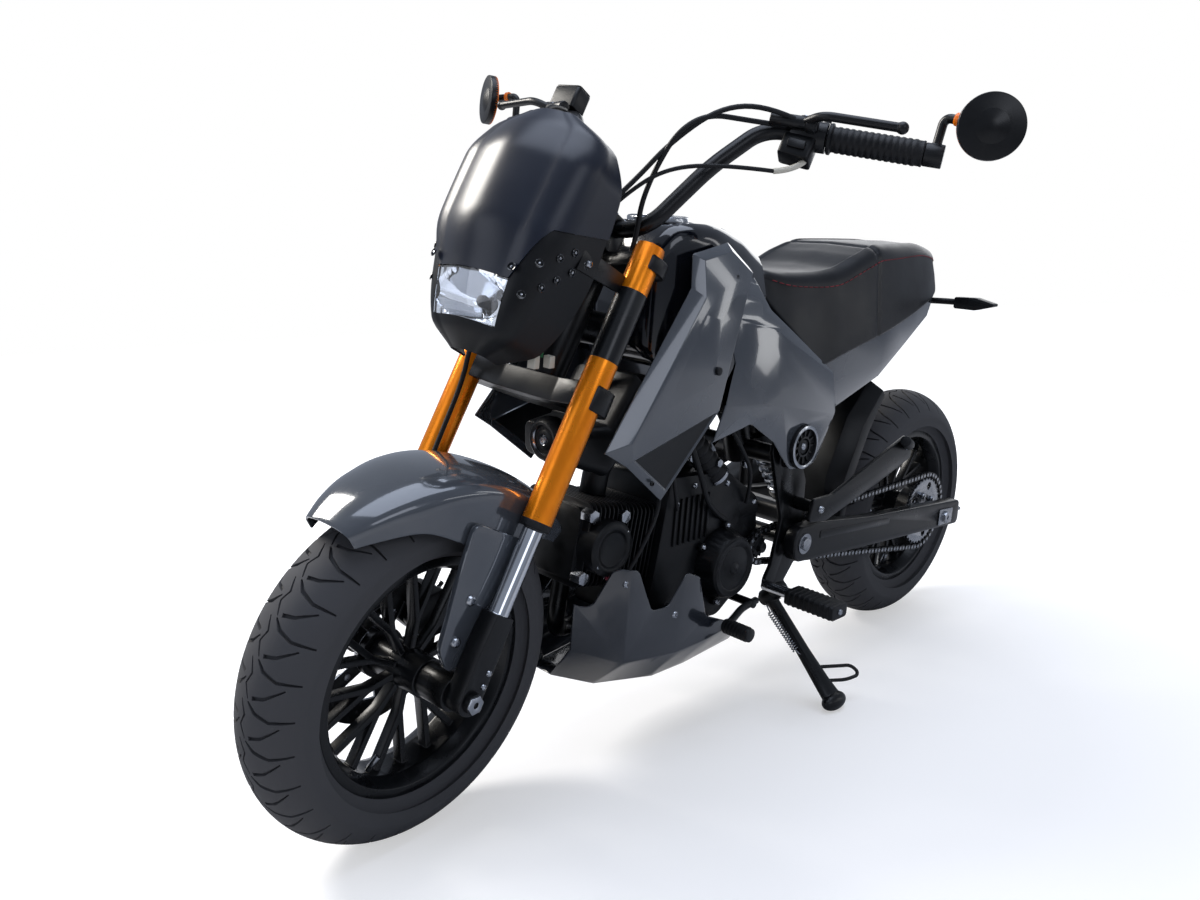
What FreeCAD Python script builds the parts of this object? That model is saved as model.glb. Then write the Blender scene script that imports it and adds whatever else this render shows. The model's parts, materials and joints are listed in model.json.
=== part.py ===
"""Small street motorcycle with a horizontal engine, twelve inch wheels and an upside down fork.

Millimetres. The pieces are drawn on an upright bike whose left side is +X, whose tail is +Y and
whose front axle stands over the origin. Pieces that steer are drawn in the fork's own frame, with
its origin on the front axle, Y square to the fork legs and Z up along them. At the end every piece
is turned by the steering angle and the lean at which the bike rests on its side stand.
"""

import FreeCAD
import Part
import math
import os
from types import SimpleNamespace

Vector = FreeCAD.Vector
Rotation = FreeCAD.Rotation
Placement = FreeCAD.Placement

# Driving dimensions, one row each: alias, value
SIZES = (
    ("wheelbase", 1230),
    ("rake", 28),
    ("axis_offset", 30),
    ("rest_steer", 6.5),
    ("rest_lean", 8),
    ("seat_gap", 0.3),
    ("front_tyre_radius", 236),
    ("front_tyre_width", 118),
    ("rear_tyre_radius", 243),
    ("rear_tyre_width", 130),
    ("front_crown_radius", 62),
    ("rear_crown_radius", 68),
    ("bead_radius", 152.4),
    ("flange_radius", 163),
    ("flange_width", 5),
    ("barrel_wall", 6),
    ("front_rim_width", 84),
    ("rear_rim_width", 92),
    ("hub_radius", 27),
    ("hub_width", 92),
    ("spoke_forks", 10),
    ("spoke_width", 9),
    ("spoke_depth", 16),
    ("axle_radius", 7.5),
    ("axle_bore", 4),
    ("axle_head", 13),
    ("spacer_radius", 13),
    ("disc_radius", 105),
    ("disc_band", 34),
    ("disc_wall", 4),
    ("disc_offset", 60),
    ("disc_clearance", 2),
    ("fork_spread", 220),
    ("fork_outer_radius", 20),
    ("fork_outer_bottom", 232),
    ("fork_top", 622),
    ("stanchion_radius", 13.5),
    ("stanchion_bottom", 112),
    ("fork_overlap", 130),
    ("lug_radius", 19),
    ("lug_width", 28),
    ("lower_clamp_base", 392),
    ("lower_clamp_depth", 34),
    ("upper_clamp_base", 592),
    ("upper_clamp_depth", 20),
    ("stem_radius", 14.7),
    ("head_radius", 27),
    ("bar_radius", 11.1),
    ("bar_half_width", 364),
    ("grip_radius", 17),
    ("grip_length", 125),
    ("mirror_radius", 41),
    ("panel_wall", 3),
    ("fender_wall", 3),
    ("engine_half_width", 78),
    ("generator_radius", 60),
    ("cam_cover_radius", 41),
    ("fin_wall", 2.5),
    ("fin_pitch", 9),
    ("pivot_height", 292),
    ("pivot_station", 714),
    ("swingarm_half_width", 135),
    ("swingarm_wall", 24),
    ("chain_offset", 84),
    ("chain_width", 10),
    ("chain_height", 12),
    ("rear_sprocket_radius", 78),
    ("front_sprocket_radius", 27),
    ("peg_radius", 14),
    ("stand_radius", 11),
    ("stand_pivot_radius", 7),
    ("cap_radius", 36),
    ("cap_base", 112),
    ("riser_height", 34),
    ("riser_offset", 28),
    ("bar_across", 6),
    ("housing_radius", 20),
    ("housing_length", 48),
    ("lever_reach", 50),
    ("bar_weight", 24),
    ("cable_radius", 3.5),
    ("mirror_depth", 12),
    ("plate_offset", 97),
    ("barrel_tilt", 10),
    ("barrel_length", 72),
    ("head_length", 84),
    ("generator_depth", 34),
    ("tank_cap_radius", 46),
    ("cap_station", 692),
    ("cap_level", 463),
    ("sprocket_station", 652),
    ("sprocket_height", 286),
    ("hanger_offset", 146),
    ("peg_start", 158),
    ("peg_end", 250),
    ("peg_station", 655),
    ("peg_level", 222),
    ("pivot_bush_radius", 14),
    ("pipe_radius", 14),
    ("silencer_radius", 44),
    ("stand_pivot_across", 78),
    ("stand_pivot_station", 697),
    ("stand_pivot_level", 178),
    ("stand_foot_across", 237),
    ("stand_foot_station", 693),
    ("stand_foot_radius", 15),
    ("stand_axis_across", 0.68),
    ("stand_axis_rear", 0.1),
    ("stand_axis_up", 0.73),
    ("hanger_lug", 31),
    ("barrel_station", 404),
    ("barrel_level", 334),
    ("stand_eye_radius", 15),
    ("stand_eye_width", 22),
)

doc = FreeCAD.newDocument("motorcycle")
sheet = doc.addObject("Spreadsheet::Sheet", "Sizes")
for row, (alias, amount) in enumerate(SIZES, start=1):
    sheet.set(f"A{row}", alias)
    sheet.set(f"B{row}", str(amount))
    sheet.setAlias(f"B{row}", alias)
doc.recompute()
s = SimpleNamespace(**{alias: float(sheet.get(alias)) for alias, _ in SIZES})

X_AXIS = Vector(1, 0, 0)
Y_AXIS = Vector(0, 1, 0)
Z_AXIS = Vector(0, 0, 1)
IDENTITY = Placement()
FORK = Placement(Vector(0, 0, s.front_tyre_radius), Rotation(X_AXIS, -s.rake))
# Sketch planes: side looks along X with its own x axis to the rear, front looks along Y
SIDE = Rotation(Vector(0, 1, 0), Vector(0, 0, 1), Vector(1, 0, 0))
FRONT = Rotation(Vector(1, 0, 0), Vector(0, 0, 1), Vector(0, -1, 0))
ALONG_X = Rotation(Y_AXIS, 90)
BOTH_SIDES = (("left", 1), ("right", -1))

nodes = []


def bind(thing, **formulas):
    """Tie properties of an object to formulas in cells of the sheet."""
    for prop, formula in formulas.items():
        thing.setExpression(prop, formula)
    return thing


def place(x=0.0, y=0.0, z=0.0, turn=None):
    """Placement at a point, turned by a rotation."""
    return Placement(Vector(x, y, z), turn or Rotation())


def cylinder(name, radius, length, at, turn=None):
    """Cylinder whose radius and height are formulas, starting at a point along its own Z."""
    thing = doc.addObject("Part::Cylinder", name)
    bind(thing, Radius=radius, Height=length)
    thing.Placement = place(*at, turn)
    return thing


def rounded_loop(points):
    """Closed loop of lines and corner arcs from (a, b, radius) rows, as curves in a plane."""
    count = len(points)
    starts, ends, arcs = [], [], []
    for index, row in enumerate(points):
        here = Vector(row[0], row[1], 0)
        before = Vector(*points[index - 1][:2], 0) - here
        after = Vector(*points[(index + 1) % count][:2], 0) - here
        radius = row[2] if len(row) > 2 else 0
        if radius <= 0:
            starts.append(here)
            ends.append(here)
            arcs.append(None)
            continue
        before.normalize()
        after.normalize()
        half = before.getAngle(after) / 2
        reach = radius / math.tan(half)
        inward = (before + after).normalize()
        middle = here + inward * (radius / math.sin(half) - radius)
        starts.append(here + before * reach)
        ends.append(here + after * reach)
        arcs.append(Part.Arc(starts[-1], middle, ends[-1]))
    curves = []
    for index in range(count):
        if arcs[index] is not None:
            curves.append(arcs[index])
        following = starts[(index + 1) % count]
        if (following - ends[index]).Length > 1e-6:
            curves.append(Part.LineSegment(ends[index], following))
    return curves


def sketch(name, points, at=IDENTITY):
    """Sketch of one rounded loop, placed in the frame of its piece."""
    thing = doc.addObject("Sketcher::SketchObject", name)
    thing.Placement = at
    curves = rounded_loop(points) if isinstance(points[0], tuple) else points
    thing.addGeometry(curves, False)
    return thing


def extrude(name, outline, length, symmetric=False):
    """Solid from a sketch, along the sketch's normal by a formula."""
    thing = doc.addObject("Part::Extrusion", name)
    thing.Base = outline
    thing.DirMode = "Normal"
    thing.Solid = True
    thing.Symmetric = symmetric
    bind(thing, LengthFwd=length)
    return thing


def plate(name, points, at, length, symmetric=False):
    """Extruded rounded loop."""
    return extrude(name, sketch(name + "_outline", points, at), length, symmetric)


def revolve(name, points, at, axis, base=Vector()):
    """Solid of revolution of one rounded loop about an axis."""
    thing = doc.addObject("Part::Revolution", name)
    thing.Source = sketch(name + "_profile", points, at)
    thing.Axis = axis
    thing.Base = base
    thing.Angle = 360
    thing.Solid = True
    return thing


def loft(name, sections, ruled=True):
    """Solid through rounded loops, each row a placement and its points."""
    thing = doc.addObject("Part::Loft", name)
    thing.Sections = [
        sketch(f"{name}_section_{index}", points, at) for index, (at, points) in enumerate(sections)
    ]
    thing.Solid = True
    thing.Ruled = ruled
    return thing


def fuse(name, parts):
    """Union of several objects."""
    thing = doc.addObject("Part::MultiFuse", name)
    thing.Shapes = parts
    thing.Refine = True
    return thing


def cut(name, base, tools):
    """One object less one or more tools."""
    thing = doc.addObject("Part::Cut", name)
    thing.Base = base
    thing.Tool = tools[0] if len(tools) == 1 else fuse(name + "_tools", tools)
    thing.Refine = True
    return thing


def common(name, first, second):
    """What two objects share."""
    thing = doc.addObject("Part::Common", name)
    thing.Base = first
    thing.Tool = second
    return thing


def compound(name, parts):
    """Solids of one piece that do not touch."""
    thing = doc.addObject("Part::Compound", name)
    thing.Links = parts
    return thing


def solid(name, shape, at=IDENTITY):
    """Object whose shape is worked out here from the sheet's sizes."""
    thing = doc.addObject("Part::Feature", name)
    thing.Shape = shape
    thing.Placement = at
    return thing


def pair(name, source):
    """Left piece and its mirror image across the bike's middle plane, from one source."""
    left = doc.addObject("Part::Refine", f"{name}_left_solid")
    left.Source = source
    right = doc.addObject("Part::Mirroring", f"{name}_right_solid")
    right.Source = source
    right.Normal = X_AXIS
    return left, right


def bent_wire(points, share=0.45):
    """Path of straight runs joined by tangent arcs, each as large as its two runs allow."""
    corners = [Vector(*point) for point in points]
    edges = []
    cursor = corners[0]
    for before, here, after in zip(corners, corners[1:], corners[2:]):
        back = before - here
        ahead = after - here
        reach = share * min(back.Length, ahead.Length)
        back.normalize()
        ahead.normalize()
        half = back.getAngle(ahead) / 2
        radius = reach * math.tan(half)
        middle = here + (back + ahead).normalize() * (radius / math.sin(half) - radius)
        edges.append(Part.LineSegment(cursor, here + back * reach).toShape())
        edges.append(Part.Arc(here + back * reach, middle, here + ahead * reach).toShape())
        cursor = here + ahead * reach
    edges.append(Part.LineSegment(cursor, corners[-1]).toShape())
    return Part.Wire(edges)


def tube_shape(points, radius, share=0.45):
    """Round bar along a bent path."""
    path = bent_wire(points, share)
    start = Vector(*points[0])
    heading = Vector(*points[1]) - start
    ring = Part.Face(Part.Wire(Part.makeCircle(radius, start, heading)))
    return path.makePipe(ring)


def tube(name, points, radius, share=0.45):
    """Object of a bent round bar."""
    return solid(name, tube_shape(points, radius, share))


def node(thing, label, frame=IDENTITY, steers=False):
    """Name a finished piece and note the frame in which it was drawn."""
    thing.Label = label
    nodes.append(SimpleNamespace(thing=thing, label=label, frame=frame, steers=steers))
    return thing


def node_pair(source, label):
    """Left and right pieces of one source."""
    for (side, _), thing in zip(BOTH_SIDES, pair(label, source)):
        node(thing, f"{label}_{side}")


def fork_point(x, across, along):
    """Point given in the fork's frame, on the upright bike."""
    return FORK.multVec(Vector(x, across, along))


# Wheels, drawn about the X axis through the origin
def wheel(name, tyre_radius, tyre_width, crown_radius, rim_width, hub_width):
    """Tyre and cast rim of one wheel; formulas name cells, numbers come from the same cells."""
    outer = getattr(s, tyre_radius)
    half = getattr(s, tyre_width) / 2
    crown = getattr(s, crown_radius)
    seat = getattr(s, rim_width) / 2 - s.flange_width
    lip = seat + s.flange_width
    reach = half - 1
    shoulder = outer - crown + math.sqrt(crown**2 - reach**2)
    corners = [Vector(seat, s.bead_radius, 0), Vector(seat, s.flange_radius, 0)]
    wall = [Vector(lip, s.flange_radius + 1, 0), Vector(reach, shoulder, 0)]
    swell = (wall[0] + wall[1]) / 2 + Vector(5, -4, 0)
    flip = [Vector(-point.x, point.y, 0) for point in corners + wall + [swell]]
    curves = [
        Part.LineSegment(flip[0], corners[0]),
        Part.LineSegment(corners[0], corners[1]),
        Part.LineSegment(corners[1], wall[0]),
        Part.Arc(wall[0], swell, wall[1]),
        Part.Arc(wall[1], Vector(0, outer, 0), flip[3]),
        Part.Arc(flip[3], flip[4], flip[2]),
        Part.LineSegment(flip[2], flip[1]),
        Part.LineSegment(flip[1], flip[0]),
    ]
    tyre = revolve(f"{name}_tyre_solid", curves, IDENTITY, X_AXIS)
    inner = s.bead_radius - s.barrel_wall
    barrel = revolve(
        f"{name}_barrel",
        [
            (-lip, inner + 4),
            (-seat * 0.6, inner - 6, 8),
            (seat * 0.6, inner - 6, 8),
            (lip, inner + 4),
            (lip, s.flange_radius),
            (seat, s.flange_radius),
            (seat, s.bead_radius),
            (-seat, s.bead_radius),
            (-seat, s.flange_radius),
            (-lip, s.flange_radius),
        ],
        IDENTITY,
        X_AXIS,
    )
    hub = cylinder(
        f"{name}_hub", "Sizes.hub_radius", f"Sizes.{hub_width}",
        (-getattr(s, hub_width) / 2, 0, 0), ALONG_X,
    )
    spokes = spoke_set(name, inner - 3)
    bore = cylinder(
        f"{name}_bore", "Sizes.axle_radius + Sizes.seat_gap", f"Sizes.{hub_width} + 20",
        (-getattr(s, hub_width) / 2 - 10, 0, 0), ALONG_X,
    )
    rim = cut(f"{name}_rim_solid", fuse(f"{name}_casting", [barrel, hub] + spokes), [bore])
    return tyre, rim


def spoke_set(name, reach):
    """Forked spokes: a short stem from the hub that parts in two arms to the barrel."""
    parts = []
    root = s.hub_radius - 3
    fork_at = root + (reach - root) * 0.34
    count = int(s.spoke_forks)
    spread = math.pi / count * 0.52
    for index in range(count):
        angle = 2 * math.pi * index / count
        for hand in (1, -1):
            tip = angle + hand * spread
            parts.append(
                spoke_bar(f"{name}_arm_{index}_{hand}", angle, fork_at, tip, reach)
            )
        parts.append(spoke_bar(f"{name}_stem_{index}", angle, root, angle, fork_at + 3))
    return parts


def spoke_bar(name, start_angle, start_radius, end_angle, end_radius):
    """One straight arm between two polar points in the wheel's plane."""
    start = Vector(0, start_radius * math.cos(start_angle), start_radius * math.sin(start_angle))
    end = Vector(0, end_radius * math.cos(end_angle), end_radius * math.sin(end_angle))
    heading = end - start
    bar = doc.addObject("Part::Box", name)
    bind(bar, Length="Sizes.spoke_depth", Width="Sizes.spoke_width")
    bar.Height = heading.Length
    turn = Rotation(X_AXIS, math.degrees(math.atan2(-heading.y, heading.z)))
    corner = turn.multVec(Vector(-s.spoke_depth / 2, -s.spoke_width / 2, 0))
    bar.Placement = Placement(start + corner, turn)
    return bar


def brake_disc(name, side):
    """Drilled brake disc with its carrier, on one side of the hub."""
    face = s.disc_offset - s.disc_wall / 2
    at = face if side > 0 else -face - s.disc_wall
    ring = cylinder(f"{name}_ring", "Sizes.disc_radius", "Sizes.disc_wall", (at, 0, 0), ALONG_X)
    window = cylinder(
        f"{name}_window", "Sizes.disc_radius - Sizes.disc_band", "Sizes.disc_wall + 2",
        (at - 1, 0, 0), ALONG_X,
    )
    band = cut(f"{name}_band", ring, [window])
    arms = []
    for index in range(5):
        turn = Rotation(X_AXIS, 72 * index)
        arm = doc.addObject("Part::Box", f"{name}_arm_{index}")
        bind(arm, Length="Sizes.disc_wall", Height="Sizes.disc_radius - Sizes.disc_band + 4")
        arm.Width = 22
        arm.Placement = Placement(turn.multVec(Vector(at, -11, 0)), turn)
        arms.append(arm)
    carrier_length = s.disc_offset - s.disc_wall / 2 - s.hub_width / 2 + s.disc_wall
    start = s.hub_width / 2 if side > 0 else -s.hub_width / 2 - carrier_length
    carrier = doc.addObject("Part::Cylinder", f"{name}_carrier")
    bind(carrier, Radius="Sizes.hub_radius + 8")
    carrier.Height = carrier_length
    carrier.Placement = place(start, 0, 0, ALONG_X)
    bore = doc.addObject("Part::Cylinder", f"{name}_bore")
    bind(bore, Radius="Sizes.spacer_radius + 5")
    bore.Height = carrier_length + 40
    bore.Placement = place(start - 20, 0, 0, ALONG_X)
    return cut(f"{name}_solid", fuse(f"{name}_plates", [band, carrier] + arms), [bore])


REAR_AXLE = place(0, s.wheelbase, s.rear_tyre_radius)
FRONT_AXLE = FORK

front_tyre, front_rim = wheel(
    "front", "front_tyre_radius", "front_tyre_width", "front_crown_radius", "front_rim_width",
    "hub_width",
)
node(front_tyre, "front_tyre", FRONT_AXLE, steers=True)
node(front_rim, "front_rim", FRONT_AXLE, steers=True)
node(brake_disc("front_disc", -1), "front_disc", FRONT_AXLE, steers=True)
rear_tyre, rear_rim = wheel(
    "rear", "rear_tyre_radius", "rear_tyre_width", "rear_crown_radius", "rear_rim_width",
    "hub_width",
)
node(rear_tyre, "rear_tyre", REAR_AXLE)
node(rear_rim, "rear_rim", REAR_AXLE)
node(brake_disc("rear_disc", -1), "rear_disc", REAR_AXLE)


def tooth_ring(teeth, radius, height):
    """Outline of a sprocket, one flat tip and one flat root a tooth."""
    rows = []
    for index in range(teeth):
        for share, reach in ((0.0, radius), (0.25, radius + height), (0.5, radius)):
            angle = 2 * math.pi * (index + share) / teeth
            rows.append((reach * math.cos(angle), reach * math.sin(angle)))
    return rows


sprocket_at = s.chain_offset - 3
sprocket_plate = plate(
    "rear_sprocket_plate", tooth_ring(34, s.rear_sprocket_radius - s.chain_height / 2 - 5, 4.6),
    place(sprocket_at, 0, 0, SIDE), "Sizes.chain_width - 4",
)
sprocket_carrier = cylinder(
    "rear_sprocket_carrier", "Sizes.hub_radius + 18", "Sizes.chain_offset - 3 - Sizes.hub_width / 2",
    (s.hub_width / 2, 0, 0), ALONG_X,
)
sprocket_bore = cylinder(
    "rear_sprocket_bore", "Sizes.spacer_radius + 5", "Sizes.chain_offset", (20, 0, 0), ALONG_X
)
sprocket_holes = []
for index in range(5):
    angle = 2 * math.pi * index / 5
    sprocket_holes.append(
        cylinder(
            f"rear_sprocket_hole_{index}", "8", "Sizes.chain_width",
            (sprocket_at - 1, 54 * math.cos(angle), 54 * math.sin(angle)), ALONG_X,
        )
    )
rear_sprocket = cut(
    "rear_sprocket_solid",
    fuse("rear_sprocket_blank", [sprocket_plate, sprocket_carrier]),
    [sprocket_bore] + sprocket_holes,
)
node(rear_sprocket, "rear_sprocket", REAR_AXLE)


def axle(name, half_length):
    """Hollow axle with a hexagon head and nut and a spacer on each side of the hub."""
    shaft = doc.addObject("Part::Cylinder", f"{name}_shaft")
    bind(shaft, Radius="Sizes.axle_radius")
    shaft.Height = 2 * half_length
    shaft.Placement = place(-half_length, 0, 0, ALONG_X)
    ends = []
    for side, hand in BOTH_SIDES:
        head = doc.addObject("Part::Prism", f"{name}_head_{side}")
        head.Polygon = 6
        bind(head, Circumradius="Sizes.axle_head")
        head.Height = 10
        head.Placement = place(half_length if hand > 0 else -half_length - 10, 0, 0, ALONG_X)
        ends.append(head)
    bore = doc.addObject("Part::Cylinder", f"{name}_through_bore")
    bind(bore, Radius="Sizes.axle_bore")
    bore.Height = 2 * half_length + 40
    bore.Placement = place(-half_length - 20, 0, 0, ALONG_X)
    return cut(f"{name}_solid", fuse(f"{name}_bar", [shaft] + ends), [bore])


def spacer(name, start, length, radius):
    """Collar on an axle between a hub and what carries the axle."""
    ring = doc.addObject("Part::Cylinder", f"{name}_ring")
    ring.Radius = radius
    ring.Height = length
    ring.Placement = place(start, 0, 0, ALONG_X)
    hole = cylinder(f"{name}_hole", "Sizes.axle_radius", "Sizes.wheelbase", (-600, 0, 0), ALONG_X)
    return cut(f"{name}_collar", ring, [hole])


def axle_with_spacers(name, half_length, reach, left_radius, right_radius):
    """Axle and the two collars that stand between the hub and the carriers at a reach."""
    gap = reach - s.hub_width / 2 - s.seat_gap
    left = spacer(f"{name}_spacer_left", s.hub_width / 2 + s.seat_gap, gap, left_radius)
    right = spacer(f"{name}_spacer_right", -reach, gap, right_radius)
    return fuse(f"{name}_assembly", [axle(name, half_length), left, right])


lug_inner = s.fork_spread / 2 - s.lug_width / 2
lug_outer = s.fork_spread / 2 + s.lug_width / 2
node(
    axle_with_spacers("front_axle", lug_outer, lug_inner, 24, s.spacer_radius),
    "front_axle", FRONT_AXLE, steers=True,
)

# Fork legs, in the fork's frame
for side, hand in BOTH_SIDES:
    leg_x = hand * s.fork_spread / 2
    slider = cylinder(
        f"fork_{side}_body", "Sizes.fork_outer_radius", "Sizes.fork_top - Sizes.fork_outer_bottom",
        (leg_x, 0, s.fork_outer_bottom),
    )
    slider_bore = cylinder(
        f"fork_{side}_bore", "Sizes.stanchion_radius + 0.1", "Sizes.fork_overlap + 10",
        (leg_x, 0, s.fork_outer_bottom - 10),
    )
    node(cut(f"fork_{side}_solid", slider, [slider_bore]), f"fork_{side}", FORK, steers=True)
    stanchion = cylinder(
        f"stanchion_{side}_bar", "Sizes.stanchion_radius",
        "Sizes.fork_outer_bottom + Sizes.fork_overlap - Sizes.stanchion_bottom",
        (leg_x, 0, s.stanchion_bottom),
    )
    lug_profile = [
        (-s.lug_radius, -s.lug_radius, s.lug_radius * 0.9),
        (s.lug_radius, -s.lug_radius, s.lug_radius * 0.9),
        (s.lug_radius, s.stanchion_bottom * 0.62, 6),
        (s.stanchion_radius + 3, s.stanchion_bottom, 2),
        (-s.stanchion_radius - 3, s.stanchion_bottom, 2),
        (-s.lug_radius, s.stanchion_bottom * 0.62, 6),
    ]
    lug = plate(
        f"lug_{side}_plate", lug_profile, place(leg_x, 0, 0, SIDE), "Sizes.lug_width", symmetric=True
    )
    lug_bore = cylinder(
        f"lug_{side}_bore", "Sizes.axle_radius", "Sizes.fork_spread",
        (leg_x - s.fork_spread / 2, 0, 0), ALONG_X,
    )
    lower = cut(f"fork_lower_{side}_solid", fuse(f"fork_lower_{side}_bar", [stanchion, lug]), [lug_bore])
    node(lower, f"fork_lower_{side}", FORK, steers=True)


# Fork clamps and steering stem
def clamp(name, base, depth):
    """Flat clamp that holds both legs and the stem, its legs in through bores."""
    reach = s.fork_spread / 2
    ear = s.fork_outer_radius + 7
    rows = [
        (reach + ear, -ear, ear * 0.95),
        (reach + ear, ear, ear * 0.95),
        (44, s.axis_offset + 34, 16),
        (-44, s.axis_offset + 34, 16),
        (-reach - ear, ear, ear * 0.95),
        (-reach - ear, -ear, ear * 0.95),
        (-50, 2, 18),
        (50, 2, 18),
    ]
    blank = plate(name + "_plate", rows, place(0, 0, getattr(s, base)), f"Sizes.{depth}")
    bores = [
        cylinder(
            f"{name}_bore_{side}", "Sizes.fork_outer_radius", f"Sizes.{depth} + 20",
            (hand * reach, 0, getattr(s, base) - 10),
        )
        for side, hand in BOTH_SIDES
    ]
    return cut(name + "_clamp", blank, bores)


lower_clamp = clamp("lower", "lower_clamp_base", "lower_clamp_depth")
upper_clamp = clamp("upper", "upper_clamp_base", "upper_clamp_depth")
stem = cylinder(
    "stem_bar", "Sizes.stem_radius",
    "Sizes.upper_clamp_base + Sizes.upper_clamp_depth - Sizes.lower_clamp_base + 10",
    (0, s.axis_offset, s.lower_clamp_base),
)
# Handlebar with its two risers, in the fork's frame: x, across, along
clamp_top = s.upper_clamp_base + s.upper_clamp_depth
bar_along = clamp_top + s.riser_height
bar_half = [
    (82, s.bar_across, bar_along),
    (128, 28, 762),
    (165, 58, 842),
    (s.bar_half_width, 128, 862),
]
bar_points = [(-x, y, z) for x, y, z in reversed(bar_half)] + bar_half
node(tube("handlebar_tube", bar_points, s.bar_radius, 0.3), "handlebar", FORK, steers=True)
risers = []
for side, hand in BOTH_SIDES:
    riser = plate(
        f"riser_{side}_block",
        [(-19, clamp_top), (19, clamp_top), (17, bar_along + 17, 8), (-17, bar_along + 17, 8)],
        place(hand * s.riser_offset, s.bar_across, 0, SIDE), "26", symmetric=True,
    )
    hole = cylinder(
        f"riser_{side}_hole", "Sizes.bar_radius", "60",
        (hand * s.riser_offset - 30, s.bar_across, bar_along), ALONG_X,
    )
    risers.append(cut(f"riser_{side}_solid", riser, [hole]))
node(
    fuse("fork_clamps_solid", [lower_clamp, upper_clamp, stem] + risers),
    "fork_clamps", FORK, steers=True,
)

GRIP_END = Vector(*bar_half[-1])
GRIP_AIM = (GRIP_END - Vector(*bar_half[-2])).normalize()


def on_bar(distance, hand=1):
    """Placement on the straight end of the bar, distance inboard of its tip, Z along the bar."""
    point = GRIP_END - GRIP_AIM * distance
    aim = Vector(GRIP_AIM)
    if hand < 0:
        point.x, aim.x = -point.x, -aim.x
    return Placement(point, Rotation(Z_AXIS, aim))


def bar_sleeve(name, radius, length, inboard, hand):
    """Sleeve whose bore is the bar's own radius, from a distance inboard of the bar's tip."""
    body = doc.addObject("Part::Cylinder", f"{name}_body")
    body.Radius = radius
    body.Height = length
    body.Placement = on_bar(inboard, hand)
    bore = doc.addObject("Part::Cylinder", f"{name}_bore")
    bind(bore, Radius="Sizes.bar_radius")
    bore.Height = length + 60
    bore.Placement = on_bar(inboard + 30, hand)
    return body, bore


grips = []
controls = []
for side, hand in BOTH_SIDES:
    sleeve, bore = bar_sleeve(f"grip_{side}", s.grip_radius, s.grip_length, s.grip_length, hand)
    grips.append(cut(f"grip_{side}_rubber", sleeve, [bore]))
    inner = s.grip_length + s.housing_length + 1
    housing, bore = bar_sleeve(f"housing_{side}", s.housing_radius, s.housing_length, inner, hand)
    at = on_bar(s.grip_length + s.housing_length / 2, hand).Base
    perch = at + Vector(0, -s.lever_reach * 0.55, 2)
    elbow = on_bar(s.grip_length - 8, hand).Base + Vector(0, -s.lever_reach, 4)
    tip = on_bar(12, hand).Base + Vector(0, -s.lever_reach - 6, 0)
    lever = tube(f"lever_{side}_blade", [at + Vector(0, -12, 0), perch, elbow, tip], 6)
    ball = doc.addObject("Part::Sphere", f"lever_{side}_ball")
    ball.Radius = 8
    ball.Placement = Placement(tip, Rotation())
    parts = [housing, lever, ball]
    if hand < 0:
        reservoir = plate(
            "reservoir_block", [(-26, -17, 6), (26, -17, 6), (26, 17, 6), (-26, 17, 6)],
            Placement(at + Vector(10, -6, 12), Rotation()), "34",
        )
        parts.append(reservoir)
    controls.append(cut(f"control_{side}", fuse(f"control_{side}_blank", parts), [bore]))
node(compound("grip_pair", grips), "grips", FORK, steers=True)
node(compound("control_pair", controls), "controls", FORK, steers=True)

# Control cables, one from each housing to the upper clamp
cables = []
for side, hand in BOTH_SIDES:
    inboard = on_bar(s.grip_length + s.housing_length + 1, hand)
    along_bar = inboard.Rotation.multVec(Z_AXIS)
    ahead = (Vector(0, -1, 0) + along_bar * along_bar.y).normalize()
    cable_start = inboard.Base + ahead * (s.bar_radius + s.cable_radius + 0.4)
    cables.append(
        tube(
            f"cable_{side}",
            [cable_start, cable_start - along_bar * 40, (hand * 130, -60, 790), (hand * 88, -34, 690),
             (hand * 84, -3, 628), (hand * 84, -3, clamp_top)],
            s.cable_radius,
        )
    )
node(compound("cable_pair", cables), "cables", FORK, steers=True)

# Bar end mirrors: a weight in line with the bar, a post, an arm and a round head
for side, hand in BOTH_SIDES:
    weight = doc.addObject("Part::Cylinder", f"mirror_{side}_weight")
    bind(weight, Radius="Sizes.grip_radius - 2", Height="Sizes.bar_weight")
    weight.Placement = on_bar(0, hand)
    foot = on_bar(-s.bar_weight / 2, hand).Base
    elbow = foot + Vector(hand * 4, -18, 44)
    head_at = elbow + Vector(hand * 66, -6, -12)
    stalk = tube(f"mirror_{side}_stalk", [foot, elbow, head_at], 6, 0.2)
    head = doc.addObject("Part::Cylinder", f"mirror_{side}_head")
    bind(head, Radius="Sizes.mirror_radius", Height="Sizes.mirror_depth")
    head.Placement = Placement(head_at, Rotation(Z_AXIS, Vector(-hand * 0.5, 0.8, 0.35)))
    node(fuse(f"mirror_{side}_solid", [weight, stalk, head]), f"mirror_{side}", FORK, steers=True)


# Headlight shell: a loft of horseshoe bands across the fork's frame, open to the rear
def shell_band(half_width, front, flank, back, height):
    """Horseshoe section at one height along the fork."""
    wall = s.panel_wall
    cheek = half_width * 0.6
    step = front + (flank - front) * 0.3
    return (
        place(0, 0, height),
        [
            (-half_width, back),
            (-half_width, flank),
            (-cheek, step),
            (0, front),
            (cheek, step),
            (half_width, flank),
            (half_width, back),
            (half_width - wall, back),
            (half_width - wall, flank + wall * 0.6),
            (cheek - wall * 0.5, step + wall),
            (0, front + wall),
            (-cheek + wall * 0.5, step + wall),
            (-half_width + wall, flank + wall * 0.6),
            (-half_width + wall, back),
        ],
    )


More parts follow.
